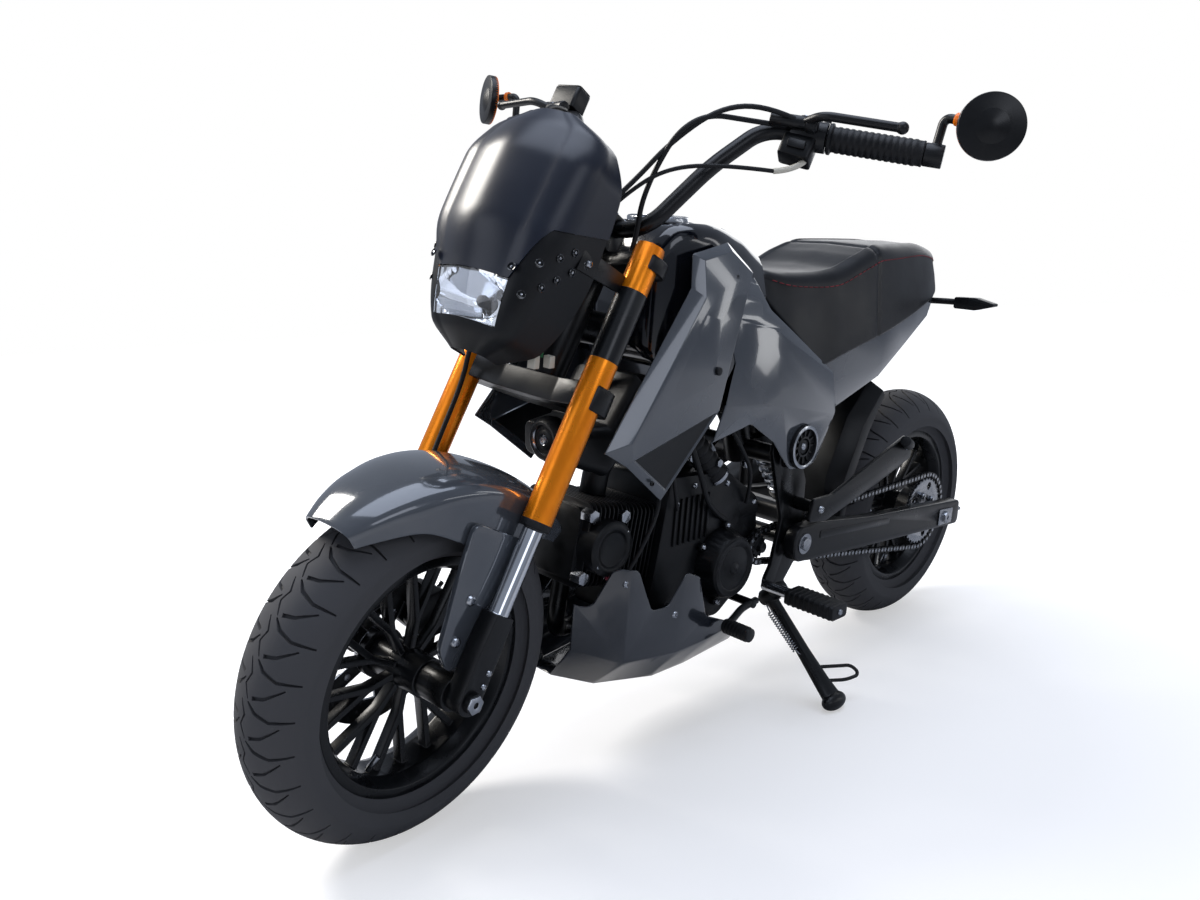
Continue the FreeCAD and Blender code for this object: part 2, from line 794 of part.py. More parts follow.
# half width, front, flank, back, height
SHELL_BANDS = (
    (30, -136, -118, -96, 398),
    (72, -160, -128, -76, 428),
    (92, -184, -140, -66, 496),
    (106, -202, -140, -78, 560),
    (108, -200, -140, -92, 640),
    (94, -186, -134, -112, 684),
    (40, -164, -146, -128, 716),
)
headlight_shell = loft("headlight_shell_solid", [shell_band(*row) for row in SHELL_BANDS])
LENS = [(-56, 430, 14), (56, 430, 14), (62, 490, 12), (-62, 490, 12)]
window = plate("headlight_window", LENS, place(0, -120, 0, FRONT), "120")
ears = [
    plate(
        f"headlight_ear_{side}", [(-112, 536), (-19.3, 548), (-19.3, 572), (-112, 566)],
        place(hand * 103, 0, 0, SIDE), "5", symmetric=True,
    )
    for side, hand in BOTH_SIDES
]
node(
    cut("headlight_shell_cut", fuse("headlight_shell_blank", [headlight_shell] + ears), [window]),
    "headlight_shell", FORK, steers=True,
)
lens_block = plate("lens_block", LENS, place(0, -118, 0, FRONT), "28")
node(lens_block, "headlight", FORK, steers=True)
gauge = plate(
    "gauge_case", [(-48, -22, 12), (48, -22, 12), (40, 28, 12), (-40, 28, 12)],
    place(0, -62, 668, Rotation(X_AXIS, 35)), "26",
)
bracket = plate(
    "gauge_bracket", [(2, 599), (2, 611), (-34, 614, 4), (-40, 684), (-50, 676), (-48, 604, 8)],
    place(0, 0, 0, SIDE), "24", symmetric=True,
)
node(fuse("gauge_solid", [gauge, bracket]), "gauge", FORK, steers=True)


# Front fender, an arched shell about the wheel, in the fork's frame
def arch_shape(rows, wall):
    """Arched shell through half sections: angle behind the fork line, crown, half width, drop."""
    wires = []
    for angle, crown, half_width, drop in rows:
        shoulder = half_width * 0.6
        outer = [
            (-half_width, crown - drop), (-half_width, crown - 22), (-shoulder, crown),
            (shoulder, crown), (half_width, crown - 22), (half_width, crown - drop),
        ]
        inner = [
            (half_width - wall, crown - drop), (half_width - wall, crown - 22 - wall),
            (shoulder - wall * 0.5, crown - wall), (-shoulder + wall * 0.5, crown - wall),
            (-half_width + wall, crown - 22 - wall), (-half_width + wall, crown - drop),
        ]
        turn = Rotation(X_AXIS, -angle)
        loop = [turn.multVec(Vector(x, 0, r)) for x, r in outer + inner]
        wires.append(Part.makePolygon(loop + loop[:1]))
    return Part.makeLoft(wires, True, True)


FENDER_ROWS = (
    (-58, 266, 42, 28),
    (-50, 271, 58, 40),
    (-40, 276, 72, 54),
    (-28, 280, 82, 80),
    (-14, 283, 87, 104),
    (2, 284, 88, 112),
    (14, 284, 82, 60),
    (24, 283, 72, 40),
)
fender_arch = solid("front_fender_arch", arch_shape(FENDER_ROWS, s.fender_wall))
stays = []
for side, hand in BOTH_SIDES:
    stay_x = s.fork_spread / 2 - s.lug_width / 2 - s.fender_wall - 3
    stays.append(
        plate(
            f"fender_stay_{side}",
            [(-64, 186, 10), (-50, 112, 8), (-30, 40, 8), (-8, 26, 8), (12, 60, 10), (14, 210, 6)],
            place(hand * stay_x, 0, 0, SIDE), "Sizes.fender_wall + 6", symmetric=True,
        )
    )
node(fuse("front_fender_solid", [fender_arch] + stays), "front_fender", FORK, steers=True)

# Front brake calliper behind the right leg
caliper = plate(
    "front_caliper_block",
    [(20, 46, 8), (62, 34, 10), (96, 58, 12), (84, 96, 12), (50, 106, 10), (20, 84, 8)],
    place(-s.disc_offset, 0, 0, SIDE), "52", symmetric=True,
)
slot = doc.addObject("Part::Cylinder", "front_caliper_slot")
bind(slot, Radius="Sizes.disc_radius + 4", Height="Sizes.disc_wall + 2 * Sizes.disc_clearance")
slot.Placement = place(-s.disc_offset - s.disc_wall / 2 - s.disc_clearance, 0, 0, ALONG_X)
caliper_arm = plate(
    "front_caliper_arm", [(13.2, 40), (44, 44, 6), (44, 92, 6), (13.2, 96)],
    place(-lug_inner + 5.1, 0, 0, SIDE), "10", symmetric=True,
)
node(
    cut("front_caliper_solid", fuse("front_caliper_blank", [caliper, caliper_arm]), [slot]),
    "front_caliper", FORK, steers=True,
)

# Frame: head tube, backbone and pivot plates
head_low = s.lower_clamp_base + s.lower_clamp_depth + s.seat_gap
head_high = s.upper_clamp_base - s.seat_gap
head_tube = doc.addObject("Part::Cylinder", "head_tube")
bind(head_tube, Radius="Sizes.head_radius")
head_tube.Height = head_high - head_low
head_tube.Placement = FORK * place(0, s.axis_offset, head_low)
head_bore = doc.addObject("Part::Cylinder", "head_bore")
bind(head_bore, Radius="Sizes.stem_radius + Sizes.seat_gap")
head_bore.Height = head_high - head_low + 20
head_bore.Placement = FORK * place(0, s.axis_offset, head_low - 10)
backbone = tube(
    "backbone_tube",
    [(0, 268, 672), (0, 380, 650), (0, 560, 590), (0, 664, 500), (0, 690, 420)], 24, 0.35,
)
engine_hangers = [
    plate(
        f"engine_hanger_{side}",
        [(486, 600, 8), (540, 600, 8), (536, 446, 8), (488, 446, 8)],
        place(hand * (s.hanger_lug + 3), 0, 0, SIDE), "6", symmetric=True,
    )
    for side, hand in BOTH_SIDES
]
hanger_bar = cylinder(
    "engine_hanger_bar", "9", "2 * Sizes.hanger_lug + 12", (-s.hanger_lug - 6, 513, 590), ALONG_X
)
panel_bar = cylinder("panel_bar", "6", "281", (-140.5, 430, 612), ALONG_X)
stand_axis = Vector(s.stand_axis_across, s.stand_axis_rear, s.stand_axis_up).normalize()
stand_pivot = Vector(s.stand_pivot_across, s.stand_pivot_station, s.stand_pivot_level)
stand_turn = Rotation(Z_AXIS, stand_axis)


def on_stand_axis(name, radius, start, length):
    """Cylinder along the stand's hinge from a start, given as numbers worked out from the sheet."""
    thing = doc.addObject("Part::Cylinder", name)
    thing.Radius = radius
    thing.Height = length
    thing.Placement = Placement(stand_pivot + stand_axis * start, stand_turn)
    return thing


stand_bolt = on_stand_axis("stand_bolt", s.stand_pivot_radius, -3, s.stand_eye_width + 20)
stand_bolt_head = on_stand_axis("stand_bolt_head", s.stand_pivot_radius + 4, -s.seat_gap - 6, 6)
stand_boss = on_stand_axis(
    "stand_boss", s.stand_eye_radius, s.stand_eye_width + s.seat_gap, 22
)
pivot_plates = []
for side, hand in BOTH_SIDES:
    pivot_plates.append(
        plate(
            f"pivot_plate_{side}",
            [(640, 470, 18), (706, 480, 18), (752, 390, 20), (756, 262, 24), (708, 208, 16),
             (642, 204, 18), (672, 250, 20), (690, 330, 20), (664, 400, 20)],
            place(hand * s.plate_offset, 0, 0, SIDE), "8", symmetric=True,
        )
    )
pivot_tube = doc.addObject("Part::Cylinder", "pivot_cross_tube")
pivot_tube.Radius = 16
bind(pivot_tube, Height="2 * Sizes.cap_base")
pivot_tube.Placement = place(-s.cap_base, 684, 440, ALONG_X)
pivot_bore = doc.addObject("Part::Cylinder", "pivot_bore")
bind(pivot_bore, Radius="Sizes.pivot_bush_radius", Height="4 * Sizes.plate_offset")
pivot_bore.Placement = place(-2 * s.plate_offset, s.pivot_station, s.pivot_height, ALONG_X)
main_frame = cut(
    "main_frame_solid",
    fuse(
        "main_frame_blank",
        [head_tube, backbone, pivot_tube, stand_bolt, stand_bolt_head, stand_boss]
        + [hanger_bar, panel_bar] + engine_hangers + pivot_plates,
    ),
    [head_bore, pivot_bore],
)
node(main_frame, "main_frame")
rails = []
for side, hand in BOTH_SIDES:
    rails.append(
        tube(
            f"seat_rail_{side}",
            [(hand * 35, 480, 617), (hand * 66, 640, 646.8), (hand * 72, 900, 664.1),
             (hand * 44, 1110, 690), (hand * 44, 1181.9, 690)],
            11,
        )
    )
cross_rails = []
for index, (station, height, half) in enumerate(((566, 633, 52), (1000, 676, 95.2))):
    rail = doc.addObject("Part::Cylinder", f"cross_rail_{index}")
    rail.Radius = 9
    rail.Height = 2 * half
    rail.Placement = place(-half, station, height, ALONG_X)
    cross_rails.append(rail)
tank_post = cylinder("tank_post", "8", "52", (0, 566, 633))
node(fuse("seat_rails_solid", rails + cross_rails + [tank_post]), "seat_rails")

# Engine: crankcase, finned barrel and head, covers
case_slope = math.tan(math.radians(s.barrel_tilt))
case_front = [(s.barrel_station + (z - s.barrel_level) * case_slope, z, 14) for z in (440, 204)]
crankcase = plate(
    "crankcase_block",
    [case_front[0], (560, 430, 30), (648, 372, 30), (664, 250, 40), (560, 184, 30), case_front[1]],
    place(0, 0, 0, SIDE), "2 * Sizes.engine_half_width", symmetric=True,
)
case_lug = plate(
    "crankcase_lug", [(492, 420), (532, 420), (532, 466, 10), (492, 466, 10)],
    place(0, 0, 0, SIDE), "2 * Sizes.hanger_lug", symmetric=True,
)
sprocket_room = plate(
    "sprocket_room",
    [(600, 230, 10), (700, 230, 10), (700, 345, 10), (600, 345, 10)],
    place(s.chain_offset - s.chain_width / 2 - 4, 0, 0, SIDE), "60",
)
pan_post = cylinder("pan_post", "8", "254.2", (-127.1, 430, 230), ALONG_X)
case_body = cut(
    "crankcase_body", fuse("crankcase_blank", [crankcase, case_lug, pan_post]), [sprocket_room]
)
front_sprocket = plate(
    "front_sprocket_plate", tooth_ring(14, s.front_sprocket_radius - s.chain_height / 2 - 5, 4.6),
    place(s.chain_offset - 3, s.sprocket_station, s.sprocket_height, SIDE), "6",
)
output_shaft = cylinder(
    "output_shaft", "9", "30", (s.chain_offset - 18, s.sprocket_station, s.sprocket_height), ALONG_X
)
node(fuse("crankcase_solid", [case_body, front_sprocket, output_shaft]), "crankcase")
BARREL = place(0, s.barrel_station, s.barrel_level, Rotation(X_AXIS, -s.barrel_tilt))


def fin_stack(name, start, length, half_width, low, high, core):
    """Core block with thin fins across the barrel's axis, from a start toward the front."""
    block = plate(
        f"{name}_core",
        [(-core, low + 10, 12), (core, low + 10, 12), (core, high - 10, 12), (-core, high - 10, 12)],
        BARREL * place(0, -start, 0, FRONT), str(length),
    )
    fins = []
    count = int(length // s.fin_pitch)
    for index in range(count):
        at = start + (index + 0.3) * s.fin_pitch
        fins.append(
            plate(
                f"{name}_fin_{index}",
                [(-half_width, low, 14), (half_width, low, 14), (half_width, high, 14),
                 (-half_width, high, 14)],
                BARREL * place(0, -at, 0, FRONT), "Sizes.fin_wall",
            )
        )
    return fuse(name + "_solid", [block] + fins)


node(fin_stack("cylinder", 0, s.barrel_length, 66, -60, 64, 50), "cylinder")
head_block = fin_stack("head", s.barrel_length, s.head_length, 68, -60, 66, 54)
cam_cover = doc.addObject("Part::Cylinder", "cam_cover")
bind(cam_cover, Radius="Sizes.cam_cover_radius", Height="86")
cam_cover.Placement = BARREL * place(0, -s.barrel_length - s.head_length / 2, 4, ALONG_X)
node(fuse("cylinder_head_solid", [head_block, cam_cover]), "cylinder_head")
covers = []
# label, hand, station, height, radius, depth
COVER_ROWS = (
    ("generator", 1, 552, 278, s.generator_radius, s.generator_depth),
    ("clutch", -1, 545, 290, s.generator_radius + 10, s.generator_depth + 6),
    ("starter", -1, 452, 300, 40, 20),
)
for label, hand, station, height, radius, depth in COVER_ROWS:
    dome = doc.addObject("Part::Cone", f"{label}_cover_dome")
    dome.Radius1 = radius
    dome.Radius2 = radius - 10
    dome.Height = depth
    turn = Rotation(Y_AXIS, 90 * hand)
    dome.Placement = place(hand * s.engine_half_width, station, height, turn)
    covers.append(dome)
node(compound("engine_cover_set", covers), "engine_covers")
airbox = plate(
    "airbox_block", [(394, 486, 14), (462, 478, 14), (462, 580, 14), (394, 584, 14)],
    place(0, 0, 0, SIDE), "116", symmetric=True,
)
throttle = tube(
    "throttle_body",
    [BARREL.multVec(Vector(0, -84, 66)), BARREL.multVec(Vector(0, -84, 106)), (0, 368, 480),
     (0, 424, 504)],
    20, 0.4,
)
node(fuse("intake_solid", [airbox, throttle]), "intake")

# Exhaust: header under the head, silencer low on the right
silencer_start = Vector(-188, 826, 240)
silencer_aim = Vector(-0.02, 0.93, 0.30).normalize()
header = tube(
    "header_pipe",
    [BARREL.multVec(Vector(-20, -95, -60)), BARREL.multVec(Vector(-20, -95, -134)), (-54, 324, 176),
     (-76, 450, 168), (-84, 604, 171), (-122, 724, 188), silencer_start - silencer_aim * 34,
     silencer_start + silencer_aim * 20],
    s.pipe_radius, 0.4,
)
node(header, "exhaust_pipe")
silencer = revolve(
    "silencer_body",
    [(s.pipe_radius, 0), (22, 0), (s.silencer_radius, 42, 12), (s.silencer_radius, 270, 10), (30, 292),
     (30, 306), (0, 306), (0, 20), (s.pipe_radius, 20)],
    Placement(Vector(), FRONT), Z_AXIS,
)
silencer.Placement = Placement(silencer_start, Rotation(Z_AXIS, silencer_aim))
silencer_hanger = plate(
    "silencer_hanger", [(908, 280, 8), (944, 280, 8), (944, 404, 8), (908, 404, 8)],
    place(-s.hanger_offset - 7, 0, 0, SIDE), "6", symmetric=True,
)
node(fuse("silencer_solid", [silencer, silencer_hanger]), "silencer")

# Tank, side panels and seat
tank = loft(
    "tank_solid",
    [
        (place(0, 368, 0, FRONT), [(-54, 625, 14), (54, 625, 14), (52, 768, 22), (-52, 768, 22)]),
        (place(0, 404, 0, FRONT), [(-92, 606, 20), (92, 606, 20), (78, 811, 34), (-78, 811, 34)]),
        (place(0, 470, 0, FRONT), [(-104, 660, 20), (104, 660, 20), (90, 814, 36), (-90, 814, 36)]),
        (place(0, 610, 0, FRONT), [(-90, 700, 16), (90, 700, 16), (70, 772, 26), (-70, 772, 26)]),
    ],
)
cap = doc.addObject("Part::Cylinder", "tank_cap_dome")
bind(cap, Radius="Sizes.tank_cap_radius", Height="14")
cap.Placement = place(0, 440, 806)
cap_well = doc.addObject("Part::Cylinder", "tank_cap_well")
bind(cap_well, Radius="Sizes.tank_cap_radius", Height="40")
cap_well.Placement = place(0, 440, 806)
tank_bore = doc.addObject("Part::Cylinder", "tank_tunnel")
tank_bore.Radius = 30
tank_bore.Height = 320
tank_bore.Placement = Placement(Vector(0, 320, 664), Rotation(Z_AXIS, Vector(0, 1, -0.28)))
node(cut("tank_cut", tank, [tank_bore, cap_well]), "tank")
node(cap, "tank_cap")


def side_panel(name, outline, slab):
    """Curved slab trimmed to the outline seen from the side."""
    trim = plate(f"{name}_trim", outline, place(30, 0, 0, SIDE), "190")
    return common(f"{name}_solid", slab, trim)


def slab(name, stations, wall):
    """Vertical band of a wall's thickness, each row a station with its low and high points."""
    sections = []
    for station, *rows in stations:
        outer = [(x, z) for x, z in rows]
        inner = [(x - wall, z) for x, z in reversed(rows)]
        sections.append((place(0, station, 0, FRONT), outer + inner))
    return loft(name, sections)


# station, then points from low to high as half width, height
SHROUD_STATIONS = (
    (200, (142, 420), (146, 540), (140, 640), (116, 820)),
    (290, (146, 420), (154, 540), (146, 640), (120, 820)),
    (420, (140, 420), (148, 560), (140, 700), (112, 820)),
    (560, (122, 420), (134, 560), (126, 700), (100, 820)),
)
SHROUD_OUTLINE = [
    (214, 520, 8), (250, 498, 6), (330, 436, 10), (440, 556, 10), (530, 752, 16), (470, 790, 14),
    (392, 774, 10), (384, 728, 20),
]
node_pair(
    side_panel("shroud", SHROUD_OUTLINE, slab("shroud_slab", SHROUD_STATIONS, s.panel_wall)),
    "shroud",
)
COVER_STATIONS = (
    (420, (118, 380), (130, 560), (120, 700), (92, 800)),
    (620, (122, 380), (128, 540), (114, 660), (90, 800)),
    (820, (122, 380), (124, 500), (108, 620), (80, 800)),
)
COVER_OUTLINE = [
    (446, 480, 8), (540, 752, 10), (590, 690, 30), (780, 578, 12), (784, 512, 14), (736, 426, 26),
    (664, 426, 26), (610, 480, 20), (540, 520, 20), (492, 500, 14),
]
cover_panel = side_panel("cover", COVER_OUTLINE, slab("cover_slab", COVER_STATIONS, s.panel_wall))
cap_ring = cylinder(
    "side_cap_ring", "Sizes.cap_radius", "20", (s.cap_base, s.cap_station, s.cap_level), ALONG_X
)
cap_dish = cylinder(
    "side_cap_dish", "Sizes.cap_radius - 6", "20", (126, s.cap_station, s.cap_level), ALONG_X
)
cap_boss = cylinder(
    "side_cap_boss", "Sizes.cap_radius / 3", "16", (s.cap_base, s.cap_station, s.cap_level), ALONG_X
)
cap_solid = fuse("side_cap_solid", [cut("side_cap_cup", cap_ring, [cap_dish]), cap_boss])
cap_seat = cylinder(
    "side_cap_seat", "Sizes.cap_radius", "60", (90, s.cap_station, s.cap_level), ALONG_X
)
node_pair(cut("cover_cut", cover_panel, [cap_seat]), "side_cover")
node(compound("side_cap_pair", list(pair("side_cap", cap_solid))), "side_caps")

# station, low half width, low height, high half width, high height, corner radius
SEAT_ROWS = (
    (622, 74, 700, 60, 748, 16),
    (700, 108, 662, 84, 742, 26),
    (790, 124, 668, 100, 748, 30),
    (862, 124, 680, 104, 774, 30),
    (930, 118, 692, 100, 790, 30),
    (1080, 98, 706, 78, 792, 26),
    (1190, 72, 712, 54, 780, 22),
    (1232, 48, 718, 36, 760, 14),
)
seat = loft(
    "seat_solid",
    [
        (
            place(0, station, 0, FRONT),
            [(-low, base, 10), (low, base, 10), (high, top, bend), (-high, top, bend)],
        )
        for station, low, base, high, top, bend in SEAT_ROWS
    ],
)
node(seat, "seat")
TAIL_STATIONS = (
    (700, (104, 440), (110, 560), (112, 720)),
    (950, (94, 440), (106, 580), (108, 720)),
    (1220, (44, 440), (62, 640), (68, 760)),
)
TAIL_OUTLINE = [
    (730, 628, 20), (792, 560, 10), (820, 500, 10), (960, 560, 10), (1170, 652, 8), (1196, 706, 8),
    (900, 676, 20),
]
node_pair(side_panel("tail", TAIL_OUTLINE, slab("tail_slab", TAIL_STATIONS, s.panel_wall)), "tail_cowl")
lamp = plate(
    "tail_lamp_block", [(-34, 650, 10), (34, 650, 10), (46, 704, 8), (-46, 704, 8)],
    place(0, 1226, 0, FRONT), "44",
)
node(lamp, "tail_lamp")

# Inner rear fender: an arched shell ahead of and over the rear tyre
GUARD_ROWS = (
    (-88, 318, 66, 40),
    (-70, 336, 68, 50),
    (-50, 346, 68, 50),
    (-34, 348, 64, 36),
)
guard = solid("rear_fender_arch", arch_shape(GUARD_ROWS, s.fender_wall))
guard_stay = doc.addObject("Part::Cylinder", "rear_fender_stay")
guard_stay.Radius = 8
guard_stay.Height = 173
guard_stay.Placement = place(0, -230, 251)
node(fuse("rear_fender_solid", [guard, guard_stay]), "rear_fender", REAR_AXLE)

# Belly pan: two cheeks joined by a floor, open to the top
# station, floor half width, floor height, cheek half width, cheek height
PAN_ROWS = (
    (247, 18, 150, 64, 350),
    (300, 56, 134, 120, 350),
    (400, 84, 126, 134, 350),
    (470, 88, 128, 136, 350),
    (592, 84, 134, 128, 350),
)
pan_sections = []
for station, floor, base, cheek, top in PAN_ROWS:
    wall = s.panel_wall
    mid = cheek - 6
    level = base + 56
    pan_sections.append(
        (
            place(0, station, 0, FRONT),
            [(-floor, base), (floor, base), (mid, level), (cheek, top), (cheek - wall, top),
             (mid - wall, level + 1), (floor - wall * 0.5, base + wall),
             (-floor + wall * 0.5, base + wall), (-mid + wall, level + 1), (-cheek + wall, top),
             (-cheek, top), (-mid, level)],
        )
    )
pan_trim = plate(
    "belly_pan_trim",
    [(240, 284, 4), (262, 266, 12), (284, 336, 12), (314, 332, 14), (346, 262, 12), (376, 262, 12),
     (408, 310, 10), (440, 296, 10), (464, 226, 16), (560, 184, 8), (594, 152, 10), (592, 126, 4),
     (400, 112), (240, 120)],
    place(-160, 0, 0, SIDE), "320",
)
node(common("belly_pan_solid", loft("belly_pan_shell", pan_sections), pan_trim), "belly_pan")

# Front duct under the head tube and the horn on its left
duct = loft(
    "front_duct_solid",
    [
        (place(0, 232, 0, FRONT), [(-40, 484, 12), (40, 484, 12), (44, 530, 12), (-44, 530, 12)]),
        (place(0, 300, 0, FRONT), [(-64, 456, 18), (64, 456, 18), (70, 532, 18), (-70, 532, 18)]),
        (place(0, 352, 0, FRONT), [(-66, 502, 18), (66, 502, 18), (72, 600, 18), (-72, 600, 18)]),
    ],
)
horn = revolve(
    "horn_body",
    [(0, 0), (30, 0, 4), (33, 16, 4), (28, 26, 6), (14, 26), (12, 20), (0, 20)],
    Placement(Vector(), FRONT), Z_AXIS,
)
horn.Placement = Placement(Vector(24, 232, 516), Rotation(Z_AXIS, Vector(0, -1, 0)))
duct_post = cylinder("front_duct_post", "8", "73.7", (0, 330, 560))
node(fuse("front_duct_pair", [duct, duct_post]), "front_duct")
node(horn, "horn")

# Swingarm, chain and shock
arms = []
for side, hand in BOTH_SIDES:
    arms.append(
        plate(
            f"swingarm_{side}_beam",
            [(686, 262, 24), (686, 322, 24), (760, 322, 30), (920, 300, 30), (1296, 268, 12),
             (1300, 216, 12), (900, 244, 30)],
            place(hand * (s.swingarm_half_width - s.swingarm_wall / 2), 0, 0, SIDE),
            "Sizes.swingarm_wall", symmetric=True,
        )
    )
brace = plate(
    "swingarm_brace", [(838, 262, 14), (838, 304, 14), (884, 300, 14), (884, 262, 14)],
    place(0, 0, 0, SIDE), "2 * Sizes.swingarm_half_width - Sizes.swingarm_wall", symmetric=True,
)
swing_tube = doc.addObject("Part::Cylinder", "swingarm_pivot_tube")
bind(
    swing_tube, Radius="Sizes.pivot_bush_radius",
    Height="2 * Sizes.swingarm_half_width - Sizes.swingarm_wall",
)
swing_tube.Placement = place(
    -s.swingarm_half_width + s.swingarm_wall / 2, s.pivot_station, s.pivot_height, ALONG_X
)
axle_hole = cylinder(
    "swingarm_axle_hole", "Sizes.axle_radius", "400",
    (-200, s.wheelbase, s.rear_tyre_radius), ALONG_X,
)
swing = fuse("swingarm_blank", arms + [brace, swing_tube])
node(cut("swingarm_solid", swing, [axle_hole]), "swingarm")
node(
    axle_with_spacers(
        "rear_axle", s.swingarm_half_width, s.swingarm_half_width - s.swingarm_wall,
        s.spacer_radius, s.spacer_radius,
    ),
    "rear_axle", REAR_AXLE,
)


def belt_outline(grow):
    """Closed belt round both sprockets, grown by an amount, as a face in the bike's side plane."""
    small = s.front_sprocket_radius + grow
    large = s.rear_sprocket_radius + grow
    run = math.hypot(
        s.wheelbase - s.sprocket_station, s.rear_tyre_radius - s.sprocket_height
    )
    slope = math.atan2(s.rear_tyre_radius - s.sprocket_height, s.wheelbase - s.sprocket_station)
    lean = math.asin((large - small) / run)
    edges = []
    ends = {}
    for hand in (1, -1):
        angle = slope + hand * (math.pi / 2 + lean)
        for label, radius, at in (("front", small, 0), ("rear", large, run)):
            ends[label, hand] = Vector(
                at * math.cos(slope) + radius * math.cos(angle),
                at * math.sin(slope) + radius * math.sin(angle), 0,
            )
        edges.append(Part.LineSegment(ends["front", hand], ends["rear", hand]).toShape())
    back = Vector(-small * math.cos(slope), -small * math.sin(slope), 0)
    ahead = Vector((run + large) * math.cos(slope), (run + large) * math.sin(slope), 0)
    edges.append(Part.Arc(ends["front", 1], back, ends["front", -1]).toShape())
    edges.append(Part.Arc(ends["rear", 1], ahead, ends["rear", -1]).toShape())
    return Part.Face(Part.Wire(Part.__sortEdges__(edges)))


band = belt_outline(s.chain_height / 2).cut(belt_outline(-s.chain_height / 2))
chain_shape = band.extrude(Vector(0, 0, s.chain_width))
chain = solid("chain_band", chain_shape)
node(
    chain, "chain",
    place(s.chain_offset - s.chain_width / 2, s.sprocket_station, s.sprocket_height, SIDE),
)
shock_body = revolve(
    "shock_body",
    [(0, -6), (14, -6), (14, 28), (26, 30), (26, 150), (30, 152), (30, 190), (14, 192), (14, 226),
     (0, 226)],
    Placement(Vector(), FRONT), Z_AXIS,
)
shock_body.Placement = Placement(Vector(0, 856, 312), Rotation(Z_AXIS, Vector(0, -0.62, 0.78)))
node(cut("rear_shock_solid", shock_body, [brace]), "rear_shock")
rear_caliper = plate(
    "rear_caliper_block",
    [(-52, 60, 8), (-98, 48, 12), (-106, 80, 12), (-80, 110, 12), (-50, 102, 10)],
    place(-s.disc_offset, 0, 0, SIDE), "42", symmetric=True,
)
rear_slot = doc.addObject("Part::Cylinder", "rear_caliper_slot")
bind(rear_slot, Radius="Sizes.disc_radius + 4", Height="Sizes.disc_wall + 2 * Sizes.disc_clearance")
rear_slot.Placement = place(-s.disc_offset - s.disc_wall / 2 - s.disc_clearance, 0, 0, ALONG_X)
rear_arm = plate(
    "rear_caliper_arm", [(-60, 26, 6), (-96, 30, 6), (-100, 80, 6), (-60, 80, 6)],
    place(-s.disc_offset - 27, 0, 0, SIDE), "12", symmetric=True,
)
rear_lug = plate(
    "rear_caliper_lug", [(-64, 29), (-92, 30), (-92, 36), (-64, 35)],
    place(-s.swingarm_half_width + s.swingarm_wall, 0, 0, SIDE), "20",
)
rear_blank = fuse("rear_caliper_blank", [rear_caliper, rear_arm, rear_lug])
node(
    cut("rear_caliper_solid", rear_blank, [rear_slot]),
    "rear_caliper", REAR_AXLE,
)

# Foot pegs on both sides, the passenger pegs folded up, and their hangers
hangers = []
for side, hand in BOTH_SIDES:
    hangers.append(
        plate(
            f"passenger_hanger_{side}",
            [(696, 336, 8), (708, 374, 8), (764, 374, 20), (1000, 448, 10), (1030, 404, 10),
             (940, 378, 30), (750, 330, 20)],
            place(hand * s.hanger_offset, 0, 0, SIDE), "8", symmetric=True,
        )
    )
    hangers.append(
        cylinder(
            f"hanger_post_{side}", "11", "Sizes.hanger_offset - Sizes.plate_offset - 4",
            (min(hand * (s.plate_offset + 4), hand * s.hanger_offset), 728, 354), ALONG_X,
        )
    )
node(fuse("passenger_hanger_pair", hangers), "passenger_hangers")
pegs = []
for side, hand in BOTH_SIDES:
    start = min(hand * s.peg_start, hand * s.peg_end)
    bar = doc.addObject("Part::Cylinder", f"rider_peg_{side}_core")
    bind(bar, Radius="Sizes.peg_radius - 5", Height="Sizes.peg_end - Sizes.plate_offset - 4")
    bar.Placement = place(
        min(hand * (s.plate_offset + 4), hand * s.peg_end), s.peg_station, s.peg_level, ALONG_X
    )
    rubber = plate(
        f"rider_peg_{side}_rubber",
        [(-22, -12, 6), (22, -12, 6), (22, 12, 6), (-22, 12, 6)],
        place(start, s.peg_station, s.peg_level, SIDE), "Sizes.peg_end - Sizes.peg_start",
    )
    pegs.append(fuse(f"rider_peg_{side}", [bar, rubber]))
node(compound("rider_peg_pair", pegs), "rider_pegs")
shift = fuse(
    "shift_lever_solid",
    [
        cylinder("shift_shaft", "7", "56", (s.engine_half_width, 586, 214), ALONG_X),
        tube("shift_arm", [(127, 600, 216), (128, 560, 212), (146, 500, 204)], 6, 0.3),
        cylinder("shift_rubber", "11", "50", (142, 500, 204), ALONG_X),
    ],
)
brake_lever = fuse(
    "brake_pedal_solid",
    [
        cylinder("brake_shaft", "9", "38", (-s.plate_offset - 4 - 38, 716, 246), ALONG_X),
        tube("brake_arm", [(-128, 724, 250), (-134, 690, 206), (-150, 540, 190)], 7, 0.3),
        cylinder("brake_pad", "11", "48", (-194, 540, 190), ALONG_X),
    ],
)
node(compound("foot_control_pair", [shift, brake_lever]), "foot_controls")

# Rear indicators on short stems
indicators = []
for side, hand in BOTH_SIDES:
    stem_bar = tube(
        f"indicator_{side}_stem",
        [(hand * 43, 1205, 679), (hand * 80, 1208, 681), (hand * 118, 1214, 682)], 6, 0.3,
    )
    body = plate(
        f"indicator_{side}_body",
        [(108, -12, 4), (150, -12, 6), (196, 2, 3), (150, 12, 6), (108, 10, 4)],
        place(0, 1222, 682, FRONT), "22",
    )
    if hand < 0:
        flipped = doc.addObject("Part::Mirroring", "indicator_right_flip")
        flipped.Source = body
        flipped.Normal = X_AXIS
        body = flipped
    indicators.append(fuse(f"indicator_{side}_solid", [stem_bar, body]))
node(compound("indicator_pair", indicators), "rear_indicators")

